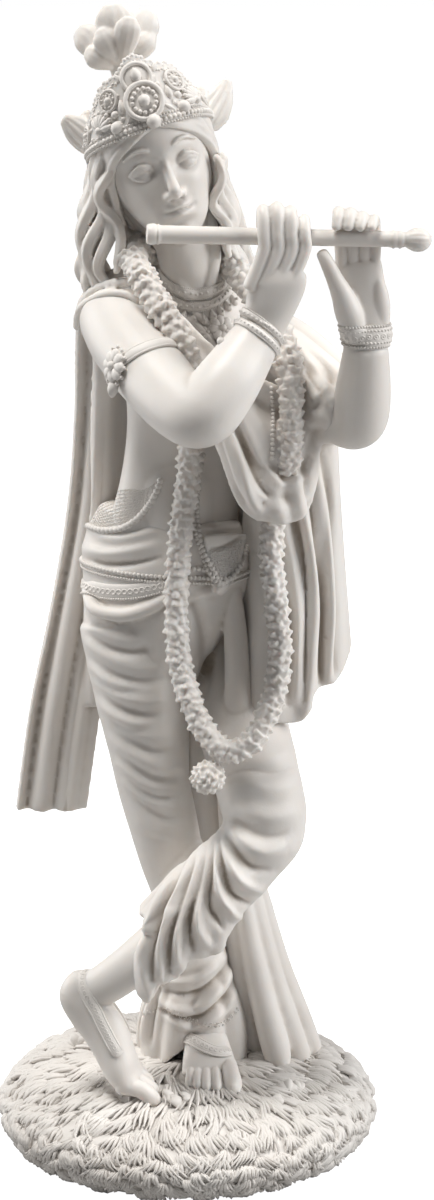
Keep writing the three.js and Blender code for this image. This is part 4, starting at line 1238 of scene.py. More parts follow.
SHAWL_STROKES = [
    # Gathers that fall from the crook of the far elbow
    ([(36, 175), (31, 172.4), (27, 167), (25, 162)], 1, 1.2),
    ([(35, 171.6), (30.6, 169), (27.6, 164), (26.6, 160)], 0.9, -0.7),
    ([(31.6, 176.4), (27.4, 173), (24.6, 168), (22, 160)], 0.9, 1.2),
    ([(33, 173.6), (28.6, 171.6), (25, 166)], 0.8, -0.6),
    ([(27, 182), (24.4, 177), (22.6, 171), (21, 165)], 0.9, 1),
    # Folds over the far upper arm
    ([(27.1, 185.5), (31, 181.4), (32.6, 176.9)], 0.9, -0.9),
    ([(24.5, 183.5), (28.7, 177.9), (30.2, 172.7), (28.7, 167.6)], 0.8, -1.1),
    ([(25.8, 184.6), (30, 179.4), (31.6, 174.4), (30.6, 168)], 1.1, 0.9),
    ([(22.5, 181), (25.7, 175.9), (27.2, 169.7)], 0.8, -1),
    # Far side: deep creases between full folds
    ([(17.6, 150), (20.4, 138), (23, 126), (23.6, 113.8), (23.2, 103.6)], 0.9, -2),
    ([(21.6, 156), (25.4, 142), (27.4, 127.9), (27.2, 116.2), (26.9, 104)], 0.9, -2.2),
    ([(25.8, 160), (29.4, 143), (31, 127.9), (30.8, 116.2), (30.7, 108.6)], 0.9, -2.2),
    ([(29.8, 164), (33.2, 146), (34.5, 127.9), (34.3, 116.2), (34.1, 110)], 0.8, -1.8),
    ([(16, 146), (18.4, 134), (20.6, 122), (21, 112), (20.4, 104)], 1.5, 1.2),
    ([(20, 152), (23.2, 140), (25.4, 126), (25.6, 114), (25.2, 104)], 1.3, 1.2),
    ([(24.2, 158), (27.8, 142), (29.4, 128), (29.2, 116), (29, 107)], 1.2, 1.2),
    ([(28.4, 162), (31.6, 145), (33, 128), (32.8, 117), (32.6, 110)], 1.1, 1.2),
    # Swag across the body and over the far elbow's hollow
    ([(8.6, 171), (12.2, 160), (14.8, 151.1), (18, 148.4), (23.6, 148.8)], 1, 1.2),
    ([(10.6, 170), (14.4, 160.4), (17.6, 153.4), (21, 151.4), (25.4, 152.6)], 0.8, -1.3),
    ([(12.6, 169), (16.6, 160.6), (20, 155.6), (23.6, 154.4), (26.6, 156.6)], 1, 1.1),
    ([(7, 166), (10.4, 155), (13.6, 149.6)], 0.7, -1),
    # Long end behind the near side
    ([(-22.6, 176), (-24.6, 150), (-30, 122), (-34.4, 96), (-36.8, 74)], 1.3, -0.6),
    ([(-20.2, 176), (-22, 150), (-26.6, 122), (-31, 96), (-33, 74)], 1.6, 1.2),
    ([(-18, 172), (-19, 148), (-22.6, 122), (-26.6, 96), (-28.6, 74)], 1.1, -1.1),
]


# Legs and feet


def foot(rows, across, ahead, down, toes):
    """A foot from its heel to its ball, with five toes side by side. Each toe: place across, reach, radius."""
    forms = [limb(rows, 32, 60, side=across)]
    ball = np.array(rows[-1][:3])
    across, ahead, down = (unit(np.array(way, float)) for way in (across, ahead, down))
    for place, reach, size in toes:
        root = ball + across * place * 0.86 - ahead * 2.2 - down * 0.4
        knuckle = ball + across * place * 0.95 + ahead * reach * 0.45 - down * 0.9
        tip = ball + across * place + ahead * reach + down * 0.5
        end = tip + ahead * size * 0.7 + down * size * 0.45
        rows_of_toe = [
            tuple(root) + (size,), tuple(knuckle) + (size * 0.9,), tuple(tip) + (size,), tuple(end) + (size * 0.8,),
        ]
        forms.append(limb(rows_of_toe, 18, 34, side=across, ends=(0.8, 0.7)))
        nail = egg((0, 0, 0), (size * 0.62, size * 0.62, size * 0.3))
        turn = np.array([across, ahead, -down])
        forms.append(set_points(nail, points_of(nail) @ turn + end - down * size * 0.72 - ahead * size * 0.15))
    return forms


def feet():
    """The crossing leg's shin and foot, and the standing leg's ankle and foot."""
    crossed = [
        (-23.2, -15, 41.8, 3.4, 3.8), (-24.5, -15.4, 38.6, 4, 4.7), (-21.8, -16, 34.4, 4.1, 5.4),
        (-18.6, -17, 30.2, 4.4, 5.2), (-16.4, -18, 25.6, 4.8, 4.6), (-14.8, -18.8, 22, 5.2, 4.2),
        (-13, -19.2, 19.6, 5.3, 3.3),
    ]
    standing = [
        (4.2, 7, 20, 4.4, 4.2), (4.3, 1, 22.4, 4.6, 4.6), (4.6, -4, 21.4, 5.2, 4), (5.1, -9, 19, 6.2, 3),
        (5.4, -12, 17.6, 6.6, 2.2),
    ]
    shin = [
        (2, -17, 58, 5.8, 5.8), (-6, -17.4, 51.8, 5.4, 5.6), (-12, -17.2, 46.8, 4.9, 5.1),
        (-17.4, -16.6, 42.4, 4.3, 4.8), (-21.4, -15.8, 39.6, 3.9, 4.6),
    ]
    forms = [
        limb(shin, 36, 60, side=(0, -1, 0)),
        limb([(0.8, 3.4, 47, 5.2), (1.8, 4, 36, 4.6), (3, 4.4, 27, 4.2), (4, 4.4, 20, 4.3)], 32, 40),
        *foot(crossed, (0.1, -0.86, -0.46), (0.94, -0.02, -0.24), (-0.2, 0.42, -0.88),
              [(3.6, 4.4, 2.15), (0.7, 5, 1.5), (-1.5, 4.2, 1.4), (-3.4, 3, 1.3), (-4.9, 1.6, 1.2)]),
        *foot(standing, (0.99, 0.1, 0), (0.05, -1, -0.05), (0, 0.05, -1),
              [(5, 5, 2.2), (1.3, 5.4, 1.3), (-1.05, 5, 1.22), (-3.1, 4.2, 1.16), (-4.9, 3, 1.12)]),
    ]
    return fused("feet", forms, voxel=0.26, smooth=3)


# Garland

GARLAND_LINE = [
    (2, 12, 203), (-7, 6, 206.5), (-11.4, -3, 207), (-9.6, -10, 203.4), (-4.8, -15.2, 196.3), (-1.4, -17.2, 190.6),
    (0.8, -17.6, 185.4), (2.4, -14.6, 177), (1.4, -10.6, 167), (0.6, -9.8, 157), (-0.9, -10.4, 147),
    (-1.8, -11.6, 136), (-2, -12.4, 126.4), (-1.2, -13, 116.8), (1.4, -15.2, 108), (5.2, -17.4, 101),
    (10, -19.8, 98.2), (14.6, -19.6, 100.4), (18, -17, 105.8), (20.4, -14.6, 113), (21, -13, 121.8),
    (20, -12, 131), (19, -11, 140.6), (19.8, -9.4, 151), (21.4, -11, 157.4), (22.6, -16.6, 164), (23, -17.8, 171),
    (23, -17, 178), (22.4, -15, 184.6), (20.4, -11.6, 190.6), (16.6, -7.4, 196.4), (13, -3, 200.6), (9.6, 3, 204),
    (6, 10, 204),
]
PETAL_ROW_PITCH = 1.08
PETALS_PER_ROW = 9
CHEST_HEIGHT = 180  # the garland is fuller above it
PENDANT_AT = np.array([5, -19.8, 92.3])


def petal_shape(segments=7):
    """A cupped petal with a pointed tip: x across, y along to the tip, z up."""
    mesh = bead(1.0, segments)
    ball = points_of(mesh)
    y = ball[:, 1]
    narrow = np.where(y > 0, 1 - 0.5 * y**2, 1 + 0.3 * y)
    curl = 0.4 * ball[:, 0] ** 2 + 0.3 * y * np.abs(y)
    return set_points(mesh, np.stack([ball[:, 0] * 1.3 * narrow, y * 1.28, ball[:, 2] * 0.5 + curl], axis=1))


def garland():
    """Rows of petals that stand out all round a core, each a little off from its neighbours."""
    rng = np.random.default_rng(11)
    track = read_along(GARLAND_LINE, np.linspace(0, 1, 600))
    run = run_of(track)
    places = at_stops(np.arange(0, run[-1], PETAL_ROW_PITCH), run, track)
    ways = unit(np.gradient(places, axis=0))
    placings = []
    for n, (place, way) in enumerate(zip(places, ways)):
        side = unit(np.cross(way, (0, 1, 0.01)))
        deep = np.cross(way, side)
        swell = (1.12 if place[2] > CHEST_HEIGHT else 1.0) * (1 + 0.04 * math.sin(n * 0.9))
        full = n % 2
        for k in range(PETALS_PER_ROW):
            angle = 2 * math.pi * (k + 0.5 * full) / PETALS_PER_ROW + rng.uniform(-0.2, 0.2)
            out = side * math.cos(angle) + deep * math.sin(angle)
            tilt = rng.uniform(-0.35, 0.6)
            reach = out * math.cos(tilt) + way * math.sin(tilt)
            across = unit(np.cross(reach, way))
            lid = np.cross(across, reach)
            roll = rng.uniform(-0.55, 0.55)
            across, lid = (
                across * math.cos(roll) + lid * math.sin(roll),
                lid * math.cos(roll) - across * math.sin(roll),
            )
            start = place + out * (2.0 if full else 1.6) * swell + way * rng.uniform(-0.2, 0.2)
            placings.append((start, np.array([across * 0.86, reach, lid * 1.25]) * rng.uniform(0.9, 1.08) * swell))
    core = cord(GARLAND_LINE, 2.1, 14, 300)
    return thinned(fused("garland", [scatter(petal_shape(), placings), core], voxel=0.25, smooth=2), 0.29)


PENDANT_PETALS = 78
GOLDEN_ANGLE = 2.39996  # the turn between one petal and the next that spreads them evenly


def pendant():
    """The round flower that hangs from the garland: petals all over a ball."""
    rng = np.random.default_rng(5)
    placings = []
    for n in range(PENDANT_PETALS):
        z = 1 - 2 * (n + 0.5) / PENDANT_PETALS
        angle = n * GOLDEN_ANGLE
        out = np.array([math.sqrt(1 - z * z) * math.cos(angle), math.sqrt(1 - z * z) * math.sin(angle), z])
        lean = unit(out + rng.uniform(-0.3, 0.3, 3))
        across = unit(np.cross(lean, rng.uniform(-1, 1, 3)))
        petal = np.array([across * 0.8, lean * 1.05, np.cross(across, lean) * 0.9]) * rng.uniform(0.85, 1.05)
        placings.append((PENDANT_AT + out * 3, petal))
    forms = [scatter(petal_shape(10), placings), egg(PENDANT_AT, (3.3, 3.3, 3.3))]
    return thinned(fused("pendant", forms, voxel=0.25, smooth=1), 0.6)


# Mound and grass

MOUND_TOP = 15.6
UNDERSIDE_SHARE = 0.14  # how much of the ball's rings make the mound's underside
TUFT_PITCH = 4.5
TUFT_RINGS = np.arange(0.036, 0.9, 0.06)
BLADE_LENGTH = 0.125
BLADE_WIDTH = 0.54
BLADE_PITCH = 0.92
LUMP_LENGTH = 0.09
LUMP_WIDTH = 2.3
LOWEST_BLADE = 0.05


def mound_at(run, angle):
    """A point on the mound: run from 0 at the middle of the top to 1 at the underside's edge."""
    rows = [
        (0, MOUND_TOP), (12, MOUND_TOP - 0.1), (23, MOUND_TOP - 0.9), (33, MOUND_TOP - 2.8), (40, MOUND_TOP - 5.8),
        (43.2, 6.6), (42.6, 3.2), (40.6, 0.4),
    ]
    radius, z = read_along(rows, run).T
    return np.stack([radius * np.cos(angle), radius * np.sin(angle), z], axis=-1)


def grass():
    """Tufts that fall outward over the mound, each of four to seven thin blades on a soft lump."""
    rng = np.random.default_rng(3)
    ground = primitive(bmesh.ops.create_uvsphere, u_segments=120, v_segments=60, radius=1)
    ball = points_of(ground)
    down = np.arccos(np.clip(ball[:, 2], -1, 1)) / np.pi
    top_share = 1 - UNDERSIDE_SHARE
    skin = mound_at(np.clip(down / top_share, 0, 1), np.arctan2(ball[:, 1], ball[:, 0]))
    inner = np.clip((down - top_share) / UNDERSIDE_SHARE, 0, 1)
    skin[:, :2] *= (1 - inner)[:, None]
    skin[:, 2] = np.where(inner > 0, 0.0, skin[:, 2])
    blade = primitive(bmesh.ops.create_uvsphere, u_segments=4, v_segments=5, radius=1)
    x, y, z = points_of(blade).T
    along = (1 - z) / 2
    thick = np.sqrt(np.maximum(1 - z**2, 0))
    swing = np.arctan2(y, x)
    small = 0.003
    blades = []
    for ring, start in enumerate(TUFT_RINGS):
        radius = math.hypot(*mound_at(np.array([start + 0.05]), np.array([0.0]))[0, :2])
        tufts = max(6, int(2 * math.pi * radius / TUFT_PITCH))
        for tuft in range(tufts):
            middle = 2 * math.pi * (tuft + 0.5 * (ring % 2) + rng.uniform(-0.28, 0.28)) / tufts
            begin = start + rng.uniform(-0.045, 0.045)
            curl, proud = rng.uniform(-3.4, 3.4), rng.uniform(-0.35, 0.4)
            count = int(rng.integers(4, 8))
            for n in range(-1, count):  # -1 is the lump that the blades lie on
                fan = (n - (count - 1) / 2) * BLADE_PITCH + rng.uniform(-0.15, 0.15)
                length = BLADE_LENGTH + rng.uniform(-0.02, 0.03) - 0.004 * abs(fan)
                if n < 0:
                    fan, length = 0.0, LUMP_LENGTH
                run = begin + length * along
                sideways = fan * (0.6 + 0.5 * along) + curl * along**2 + 0.3 * np.sin(along * 5 + n)
                turn = middle + sideways / radius
                centre = mound_at(run, turn)
                across = unit(mound_at(run, turn + small) - centre)
                up = unit(np.cross(mound_at(np.minimum(run + small, 1), turn) - mound_at(run - small, turn), across))
                lift = proud + np.sin(np.pi * np.clip(along * 0.8 + 0.1, 0, 1))
                if n < 0:
                    wide, high, lift = LUMP_WIDTH * (1 - 0.35 * along), 0.8, lift - 0.75
                else:
                    wide, high, lift = BLADE_WIDTH * (1 - 0.45 * along**2), 0.62, lift - 0.25 * fan * fan / 3
                outward = np.sin(swing) * thick * high + lift
                shape = centre + across * (np.cos(swing) * thick * wide)[:, None] + up * outward[:, None]
                shape[:, 2] = np.maximum(shape[:, 2], LOWEST_BLADE)
                blades.append(shape)
    return fused("grass_mound", [set_points(ground, skin), copies(blade, blades)])


# Jewellery, lace and small flowers, laid on the finished skins


def small_ring():
    return torus(0.55, 0.2, 10, 5)


def studs_along(track, normals, base, pitch, lift=0.0):
    """Copies of a small mesh at an even pitch along a track, each facing out of the skin."""
    run = run_of(track)
    stops = np.arange(pitch / 2, run[-1], pitch)
    places, outs = at_stops(stops, run, track), unit(at_stops(stops, run, normals))
    aheads = at_stops(np.minimum(stops + 0.2, run[-1]), run, track) - places
    placings = []
    for place, out, ahead in zip(places, outs, aheads):
        ahead = unit(ahead - out * (ahead @ out) + 1e-6)
        placings.append((place + out * lift, np.array([ahead, np.cross(out, ahead), out])))
    return scatter(base, placings)


def lace_between(tree, upper, lower, rows, columns, size):
    """Open lace: rows of small rings and dots on the skin between two lines that are drawn as the eye sees them."""
    ring, dot = torus(0.62, 0.24, 10, 5), bead(0.42, 6)
    rings, dots = [], []
    for row in range(rows):
        for column in range(columns):
            share = (column + 0.5 * (row % 2)) / columns
            spot = hung(upper, lower, share, np.array([(row + 0.5) / rows]))[0]
            track, normals = laid_on(tree, [spot, spot + [0.3, 0]], 0.12, 3)
            if len(track) < 3:
                continue
            out, ahead = normals[1], unit(track[2] - track[0])
            axes = np.array([ahead, np.cross(out, ahead), out]) * size
            (rings if (row + column) % 2 else dots).append((track[1], axes))
    return [scatter(ring, rings), scatter(dot, dots)]


def string_on(tree, line, lift, radius, pitch):
    """Beads along a line that is drawn as the eye sees it."""
    return beads_along(laid_on(tree, line, lift)[0], radius, pitch)


def spot_seen(tree, across, up, lift=0.0):
    """The place that the eye sees at a mark, with its directions along, up and out."""
    track, normals = laid_on(tree, [(across, up), (across + 0.3, up)], lift, 3)
    out = normals[1]
    along = unit(np.cross((0, 0, 1), out))
    return track[1], np.array([along, np.cross(out, along), out])


def collar(tree):
    """Two studded bands with beaded edges, a row of drops below them and a flower on the chest."""
    inner = [
        (-8, 206), (-6.6, 203.6), (-5.1, 201.6), (-3.3, 199.5), (-0.7, 198), (2.2, 197.4), (5.5, 198), (8.1, 199.4),
        (9.9, 201.6), (11.6, 205),
    ]
    outer = [
        (-8.6, 204), (-7.4, 201.8), (-6, 199.6), (-3.8, 197), (-0.7, 195.3), (2.6, 194.7), (6.1, 195.6), (9, 197.5),
        (11.2, 199.7), (13.4, 203),
    ]
    forms = []
    for line in (inner, outer):
        track, normals = laid_on(tree, line, 0.15)
        forms.append(ribbon(track, normals, 1.12, 0.62))
        forms.append(studs_along(track, normals, bead(0.42), 1.25, lift=0.55))
        for shift in (1.05, -1.05):
            forms.append(string_on(tree, np.array(line) + [0, shift], 0.5, 0.2, 0.42))
    drops, out = laid_on(tree, [
        (-3.4, 193.6), (-0.3, 192.4), (2.4, 191.8), (5.2, 192.4), (8.1, 194), (10.6, 196.2),
    ], 0.3)
    forms.append(studs_along(drops, out, drop_shape(0.9, 1.5, 0.8), 2.25))
    forms.append(studs_along(drops, out, bead(0.35), 2.25, lift=1.1))
    forms += flower(spot_seen(tree, 7.6, 189.6, 0.3), 3, 8)
    forms += flower(spot_seen(tree, 4.6, 188.8, 0.2), 1.6, 6)
    for shift in (0, 1.5):
        band = np.array([(0.6, 192), (3, 190), (5.2, 187.4), (6.4, 185.6)]) + [shift, shift * 0.8]
        forms.append(cord(laid_on(tree, band, 0.1)[0], 0.8, 12, 60))
    return forms


def ring_on(tree, centre, axis, radius, lift, shift=0.0, turn=0.0):
    """A ring drawn to a limb's skin, shifted along its axis."""
    return drawn_to(tree, ring_round(np.array(centre) + unit(np.array(axis)) * shift, axis, radius, turn), lift)


def armlet(tree):
    """A band with corded edges and a flower in a ring of beads, on the near upper arm."""
    centre, axis = (-8.4, -16.6, 184.4), (0.42, -0.5, -0.76)
    track, normals = ring_on(tree, centre, axis, 10, 0.2, turn=2)
    forms = [ribbon(track, normals, 1.35, 0.75)]
    for shift in (-1.15, 1.15):
        forms.append(cord(ring_on(tree, centre, axis, 10, 0.45, shift, turn=2)[0], 0.3))
    spot = spot_seen(tree, -15.2, 181.4, 0.5)
    forms += flower(spot, 3.4, 8)
    forms.append(on_spot(spot, torus(1.5, 0.28), (0, 0, 0.9)))
    for angle in angles_round(12):
        forms.append(on_spot(spot, bead(0.45), (3.5 * math.cos(angle), 4.1 * math.sin(angle), 0.1)))
    forms.append(on_spot(spot, drop_shape(1.2, 2), (0.2, -4.8, -0.1), math.pi))
    return forms


def bracelets(tree):
    """Two beaded bands on the near wrist, and a broad one on the far wrist."""
    forms = []
    near, near_axis = (15.6, -26.8, 193.8), (4, 2, 5)
    far, far_axis = (38.8, -20.6, 192), (0.1, -0.2, 5)
    for shift in (-1.25, 1.05):
        track, normals = ring_on(tree, near, near_axis, 8, 0.15, shift)
        forms.append(ribbon(track, normals, 0.75, 0.6))
        forms.append(studs_along(track, normals, bead(0.34), 1, lift=0.5))
        for edge_shift in (-0.7, 0.7):
            edge, _ = ring_on(tree, near, near_axis, 8, 0.35, shift + edge_shift)
            forms.append(beads_along(edge, 0.2, 0.42))
    track, normals = ring_on(tree, far, far_axis, 8, 0.1)
    forms.append(ribbon(track, normals, 2.3, 0.7, 16))
    ring, dot = small_ring(), bead(0.3)
    for shift, base, pitch, lift in (
        (0, ring, 1.5, 0.6), (0, dot, 1.5, 0.6), (1.3, dot, 0.75, 0.5), (-1.3, dot, 0.75, 0.5),
    ):
        row, out = ring_on(tree, far, far_axis, 8, 0.1, shift)
        forms.append(studs_along(row, out, base, pitch, lift=lift))
    for shift in (-2.2, 2.2):
        edge, _ = ring_on(tree, far, far_axis, 8, 0.3, shift)
        forms.append(beads_along(edge, 0.34, 0.66))
    return forms


def belts(tree, cloth_tree):
    """Beads round the hips, strings that hang from them, and the lace of the cloth below."""
    forms = []
    for height, lift, radius, pitch in ((135.6, 0.35, 0.5, 0.98), (134.4, 0.3, 0.36, 0.72)):
        round_hips = ring_round((-4.6, 3.5, height), (0.02, 0, 1), 27, steps=80)
        forms.append(beads_along(drawn_to(tree, round_hips, lift, 200)[0], radius, pitch))
    lace, out = laid_on(tree, [(-24.2, 131.6), (-19.4, 130.2), (-14.9, 129.8), (-10.4, 130.2), (-5, 131.4)], 0.1)
    forms.append(ribbon(lace, out, 1.7, 0.4))
    forms.append(studs_along(lace, out, small_ring(), 1.4, lift=0.35))
    lower = [(-24.2, 129.8), (-19.4, 128.5), (-14.9, 128.1), (-10.4, 128.5), (-5, 129.8)]
    forms.append(string_on(tree, lower, 0.3, 0.3, 0.62))
    strings = [
        ([
            (-5.4, 156), (-6.4, 153), (-8, 150), (-10.4, 147.2), (-13.4, 145), (-16.6, 144), (-19.9, 144.2),
            (-22.4, 145.4),
        ], 0.78, 1.2),
        ([(3.9, 162), (3, 157), (2.5, 152.2), (2.5, 146.5), (3.8, 140.7), (5.6, 136.1), (7.7, 131.6)], 0.62, 1.15),
        ([(1.4, 151.1), (1.8, 145.3), (2.9, 140.7), (4.4, 136.8), (5.9, 133.6), (7.8, 131)], 0.55, 1.05),
        ([(13.6, 146), (13.7, 143), (13.5, 140), (12.4, 136.6), (10.4, 133.5), (7.9, 131.5)], 0.66, 1.2),
        ([(-1, 134.6), (1, 135.2), (3, 135.3), (5, 134.8)], 0.6, 1.15),
    ]
    for line, radius, pitch in strings:
        forms.append(string_on(tree, line, radius * 0.5, radius, pitch))
    forms.append(string_on(cloth_tree, [(18.9, 177), (19.2, 173.8), (19.3, 168), (19.3, 160)], 0.3, 0.5, 1))
    frill_top = [(-22.6, 147), (-19.8, 150.6), (-16.4, 153), (-13, 153.8), (-9.6, 153.6), (-6.8, 155)]
    frill_foot = [(-22.4, 145.4), (-19.4, 145), (-16.4, 145.2), (-13.2, 146.2), (-10.2, 148.4), (-7.4, 152)]
    forms += lace_between(tree, frill_top, frill_foot, 10, 34, 0.43)
    forms += lace_between(tree, [(5.2, 139.4), (9, 140.2), (12.8, 142.2)], [
        (6.6, 134.8), (8.2, 132.8), (11.6, 136),
    ], 6, 10, 0.55)
    hem = [(-12.6, 24.4), (-8.6, 27.6), (-4, 27.4), (0.4, 25.2), (4.6, 24), (8.6, 24.6), (12, 28.4)]
    forms += lace_between(tree, np.array(hem) + [0, 1.2], np.array(hem) - [0, 0.4], 2, 30, 0.42)
    return forms


def anklets(tree):
    """A flat band with corded edges and a row of rings, on each ankle."""
    crossed = ring_on(tree, (-17.8, -16, 34.7), (0.78, -0.34, 0.5), 16, 0.3, turn=-math.pi / 2)
    standing = laid_on(tree, [
        (-3.4, 23.2), (-1.7, 22.1), (0.6, 20.8), (3, 19.3), (5.4, 18), (7.6, 17.4), (9.6, 17.6),
    ], 0.3)
    forms = []
    for track, normals in (crossed, standing):
        forms.append(ribbon(track, normals, 1.3, 0.5))
        forms.append(studs_along(track, normals, torus(0.4, 0.14, 8, 4), 1.1, lift=0.45))
        sides = np.cross(unit(np.gradient(track, axis=0)), normals)
        for shift in (-1.2, 1.2):
            forms.append(cord(track + sides * shift + normals * 0.1, 0.26))
    return forms


def blossom(spot, radius, turn):
    """Five open petals with pointed tips, round a small cup."""
    place, axes = spot
    petal = petal_shape(10)
    placings = []
    for angle in angles_round(5, turn):
        reach = axes[0] * math.cos(angle) + axes[1] * math.sin(angle) + axes[2] * 0.45
        across = unit(np.cross(reach, axes[2]))
        reach = unit(reach)
        petal_axes = np.array([across * 0.62, reach * 0.72, np.cross(across, reach) * 0.8])
        placings.append((place + reach * radius * 0.55, petal_axes * radius / 1.5))
    return [scatter(petal, placings), on_spot(spot, bead(radius * 0.24, 8), (0, 0, radius * 0.2))]


def grass_flowers(tree):
    """Small flowers on the mound, where the eye sees them, each leaning a little towards it."""
    rng = np.random.default_rng(9)
    marks = [
        (-20.5, 6.2), (-17.6, 5.6), (-0.8, 5.2), (1.4, 6.2), (-2.6, 6.6), (24.1, 7.2), (21, 9), (26.7, 7.7),
        (22.4, 4.6), (19.4, 5.6), (30.6, 17.5), (33, 16), (28.6, 18.4), (-24.6, 20), (-26.6, 18.6),
    ]
    forms = []
    for across, up in marks:
        place, axes = spot_seen(tree, across, up, 1.1)
        lean = unit(axes[2] + TOWARDS_EYE * 0.4 + rng.uniform(-0.2, 0.2, 3))
        along = unit(np.cross((0, 0, 1), lean))
        leaning = (place, np.array([along, np.cross(lean, along), lean]))
        forms += blossom(leaning, rng.uniform(2.2, 2.8), rng.uniform(0, 6))
    return forms


# Stone

CLOUD_SHADE = (0.755, 0.715, 0.675, 1)
CLOUD_LIGHT = (0.82, 0.79, 0.755, 1)
# Painted shade: the warm dark colour that the stone's hollows are painted towards.
PAINTED_SHADE_TONE = (0.43, 0.37, 0.31, 1)
SPECK_HEIGHT = 0.0002
LIGHT_REACH = 0.0012


def set_inputs(node, values):
    for name, value in values.items():
        node.inputs[name].default_value = value
    return node


def with_nodes(owner):
    """A material's or a world's nodes and links."""
    owner.use_nodes = True
    return owner.node_tree.nodes, owner.node_tree.links.new


def marble(name, roughness, grain, depth=0.5):
    """White marble powder cast in resin: soft, faintly clouded, with light that sinks in a little way, and painted
    shade that darkens and warms its hollows.
    """
    material = bpy.data.materials.new(name)
    nodes, link = with_nodes(material)
    stone = nodes["Principled BSDF"]
    where = nodes.new("ShaderNodeTexCoord").outputs["Object"]
    clouds = set_inputs(nodes.new("ShaderNodeTexNoise"), {"Scale": 42, "Detail": 5})
    tint = nodes.new("ShaderNodeValToRGB")
    for element, position, colour in zip(tint.color_ramp.elements, (0.3, 0.72), (CLOUD_SHADE, CLOUD_LIGHT)):
        element.position = position
        element.color = colour
    speck = set_inputs(nodes.new("ShaderNodeTexNoise"), {"Scale": 2600, "Detail": 2})
    bump = set_inputs(nodes.new("ShaderNodeBump"), {"Strength": grain, "Distance": SPECK_HEIGHT})
    # Painted shade: the colour is mixed towards a warm dark tone where the skin lies in its hollows.
    hollow_shade = nodes.new("ShaderNodeAttribute")
    hollow_shade.attribute_name = "hollow_shade"
    paint_shade_in_hollows = nodes.new("ShaderNodeMix")
    paint_shade_in_hollows.data_type = "RGBA"
    set_inputs(paint_shade_in_hollows, {"B": PAINTED_SHADE_TONE})
    link(where, clouds.inputs["Vector"])
    link(where, speck.inputs["Vector"])
    link(clouds.outputs["Fac"], tint.inputs["Fac"])
    link(hollow_shade.outputs["Fac"], paint_shade_in_hollows.inputs["Factor"])
    link(tint.outputs["Color"], paint_shade_in_hollows.inputs["A"])
    link(paint_shade_in_hollows.outputs["Result"], stone.inputs["Base Color"])
    link(speck.outputs["Fac"], bump.inputs["Height"])
    link(bump.outputs["Normal"], stone.inputs["Normal"])
    set_inputs(stone, {
        "Roughness": roughness,
        "Specular IOR Level": 0.4,
        "Subsurface Weight": depth,
        "Subsurface Radius": (1.0, 0.86, 0.74),
        "Subsurface Scale": LIGHT_REACH,
    })
    return material


def finish_piece(piece, material, node="krishna_figure"):
    """Millimetres become metres, and the piece rides, replaces its node and takes its finish."""
    set_points(piece.data, points_of(piece.data) * MM)
    piece.data.polygons.foreach_set("use_smooth", [True] * len(piece.data.polygons))
    piece.data.materials.clear()
    piece.data.materials.append(material)
    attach(piece, "root")
    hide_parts(node)


# Making


cast_stone = marble("cast_marble", 0.5, 0.12)
smooth_stone = marble("cast_marble_smooth", 0.42, 0.06)
fine_stone = marble("cast_marble_fine", 0.5, 0.06, depth=0)

body_piece = body()
hands_piece = hands()
head_piece = finished_head()
hair_piece = hair()
crown_piece = crown()
crown_jewels_piece = crown_jewels()
dhoti_piece = dhoti()
sculpt(dhoti_piece, lambda points, normals: 1.2 * strokes(points, normals, DHOTI_STROKES + bows_of_thigh()))
soften(dhoti_piece, 1)
shawl_piece = shawl()
sculpt(shawl_piece, lambda points, normals: strokes(points, normals, SHAWL_STROKES))
soften(shawl_piece, 1)
# The cloth in the crook of the far elbow and at the swag's foot is smoother
soften_near(shawl_piece, (31, -11, 171), 8.5, 24)
soften_near(shawl_piece, (22, -18, 152), 6, 12)
feet_piece = feet()
garland_piece = garland()
pendant_piece = pendant()
grass_piece = grass()
flute_piece = flute()

arms_and_chest = tree_of(body_piece, hands_piece, head_piece)
jewellery_piece = fused("jewellery", collar(arms_and_chest) + armlet(arms_and_chest) + bracelets(arms_and_chest))
belts_piece = fused("belts_and_lace", belts(tree_of(body_piece, dhoti_piece), tree_of(body_piece, shawl_piece)))
anklets_piece = fused("anklets", anklets(tree_of(feet_piece)))
flowers_piece = fused("grass_flowers", grass_flowers(tree_of(grass_piece)))

for piece, share in (
    (body_piece, 0.45), (hands_piece, 0.5), (dhoti_piece, 0.41), (shawl_piece, 0.34), (feet_piece, 0.34),
):
    thinned(piece, share)
# Painted shade in the hollows of these pieces, read by their materials.
for piece in (body_piece, hands_piece, head_piece, feet_piece, hair_piece, crown_piece, dhoti_piece, shawl_piece):
    shade_hollows(piece)
for piece in (body_piece, hands_piece, head_piece, feet_piece):
    finish_piece(piece, smooth_stone)
for piece in (hair_piece, crown_piece, dhoti_piece, shawl_piece, garland_piece, pendant_piece):
    finish_piece(piece, cast_stone)
for piece in (grass_piece, crown_jewels_piece, jewellery_piece, belts_piece, anklets_piece, flowers_piece):
    finish_piece(piece, fine_stone)
finish_piece(flute_piece, smooth_stone, "flute")


# Camera, light and floor

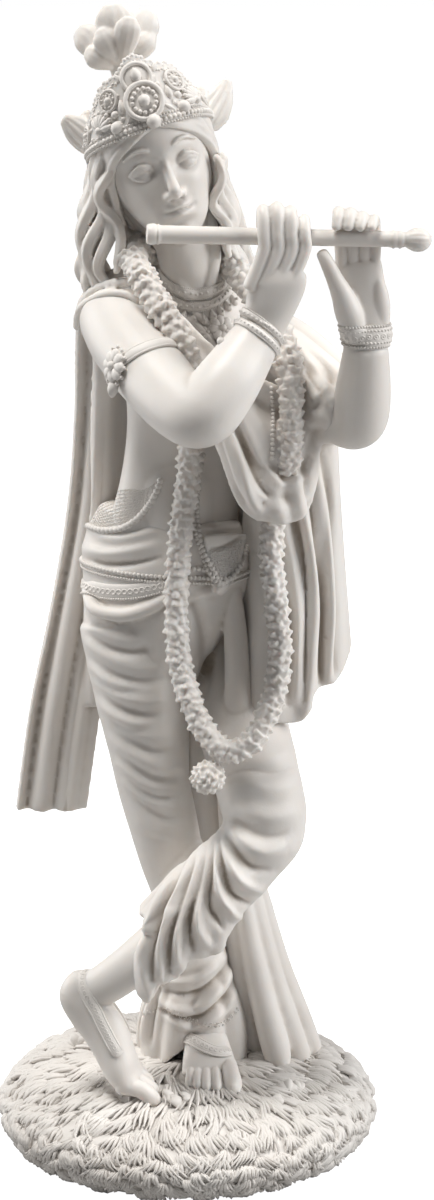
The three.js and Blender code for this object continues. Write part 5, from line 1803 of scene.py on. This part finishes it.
LENS = 82.26
AIM_HEIGHT = 0.13  # the lights point at the figure's middle
FLOOR_GREY = (0.42, 0.42, 0.42, 1)
WHITE = (1, 1, 1, 1)
SOFT_TINT = (0.95, 0.97, 1, 1)
SOFT_STRENGTH = 0.065


def add_camera():
    data = bpy.data.cameras.new("camera")
    data.sensor_width = 36
    data.lens = LENS
    camera = placed("camera", data)
    camera.location = EYE * MM
    camera.rotation_euler = (math.pi / 2 - EYE_PITCH, 0, 0)
    scene.camera = camera


def add_light(name, place, size, power, tint=(1, 1, 1)):
    data = bpy.data.lights.new(name, "AREA")
    data.size = size
    data.energy = power
    data.color = tint
    light = placed(name, data)
    light.location = place
    aim = -light.location
    aim.z += AIM_HEIGHT
    light.rotation_euler = aim.to_track_quat("-Z", "Y").to_euler()


def add_floor():
    """Paper that glows white to the camera and is grey to the light."""
    mesh = primitive(bmesh.ops.create_grid, x_segments=2, y_segments=2, size=6)
    floor = placed("floor", mesh)
    paper = bpy.data.materials.new("paper")
    nodes, link = with_nodes(paper)
    shader = nodes["Principled BSDF"]
    set_inputs(shader, {"Base Color": FLOOR_GREY, "Roughness": 0.9, "Emission Color": WHITE})
    link(nodes.new("ShaderNodeLightPath").outputs["Is Camera Ray"], shader.inputs["Emission Strength"])
    mesh.materials.append(paper)


def add_world():
    """White all round, and dimmer as a light than as the backdrop."""
    world = bpy.data.worlds.new("studio")
    nodes, link = with_nodes(world)
    white = set_inputs(nodes["Background"], {"Color": WHITE, "Strength": 1.0})
    soft = set_inputs(nodes.new("ShaderNodeBackground"), {"Color": SOFT_TINT, "Strength": SOFT_STRENGTH})
    both = nodes.new("ShaderNodeMixShader")
    link(nodes.new("ShaderNodeLightPath").outputs["Is Camera Ray"], both.inputs[0])
    link(soft.outputs[0], both.inputs[1])
    link(white.outputs[0], both.inputs[2])
    link(both.outputs[0], nodes["World Output"].inputs["Surface"])
    scene.world = world


add_camera()
add_light("key", (-0.28, -0.15, 1.17), 0.35, 10.8, (1, 0.985, 0.96))
add_light("near_side", (-0.95, 0.3, 0.35), 0.7, 5.4)
add_light("far_side", (0.95, -0.14, 0.56), 0.7, 10.5)
add_floor()
add_world()
scene.view_settings.view_transform = "Standard"
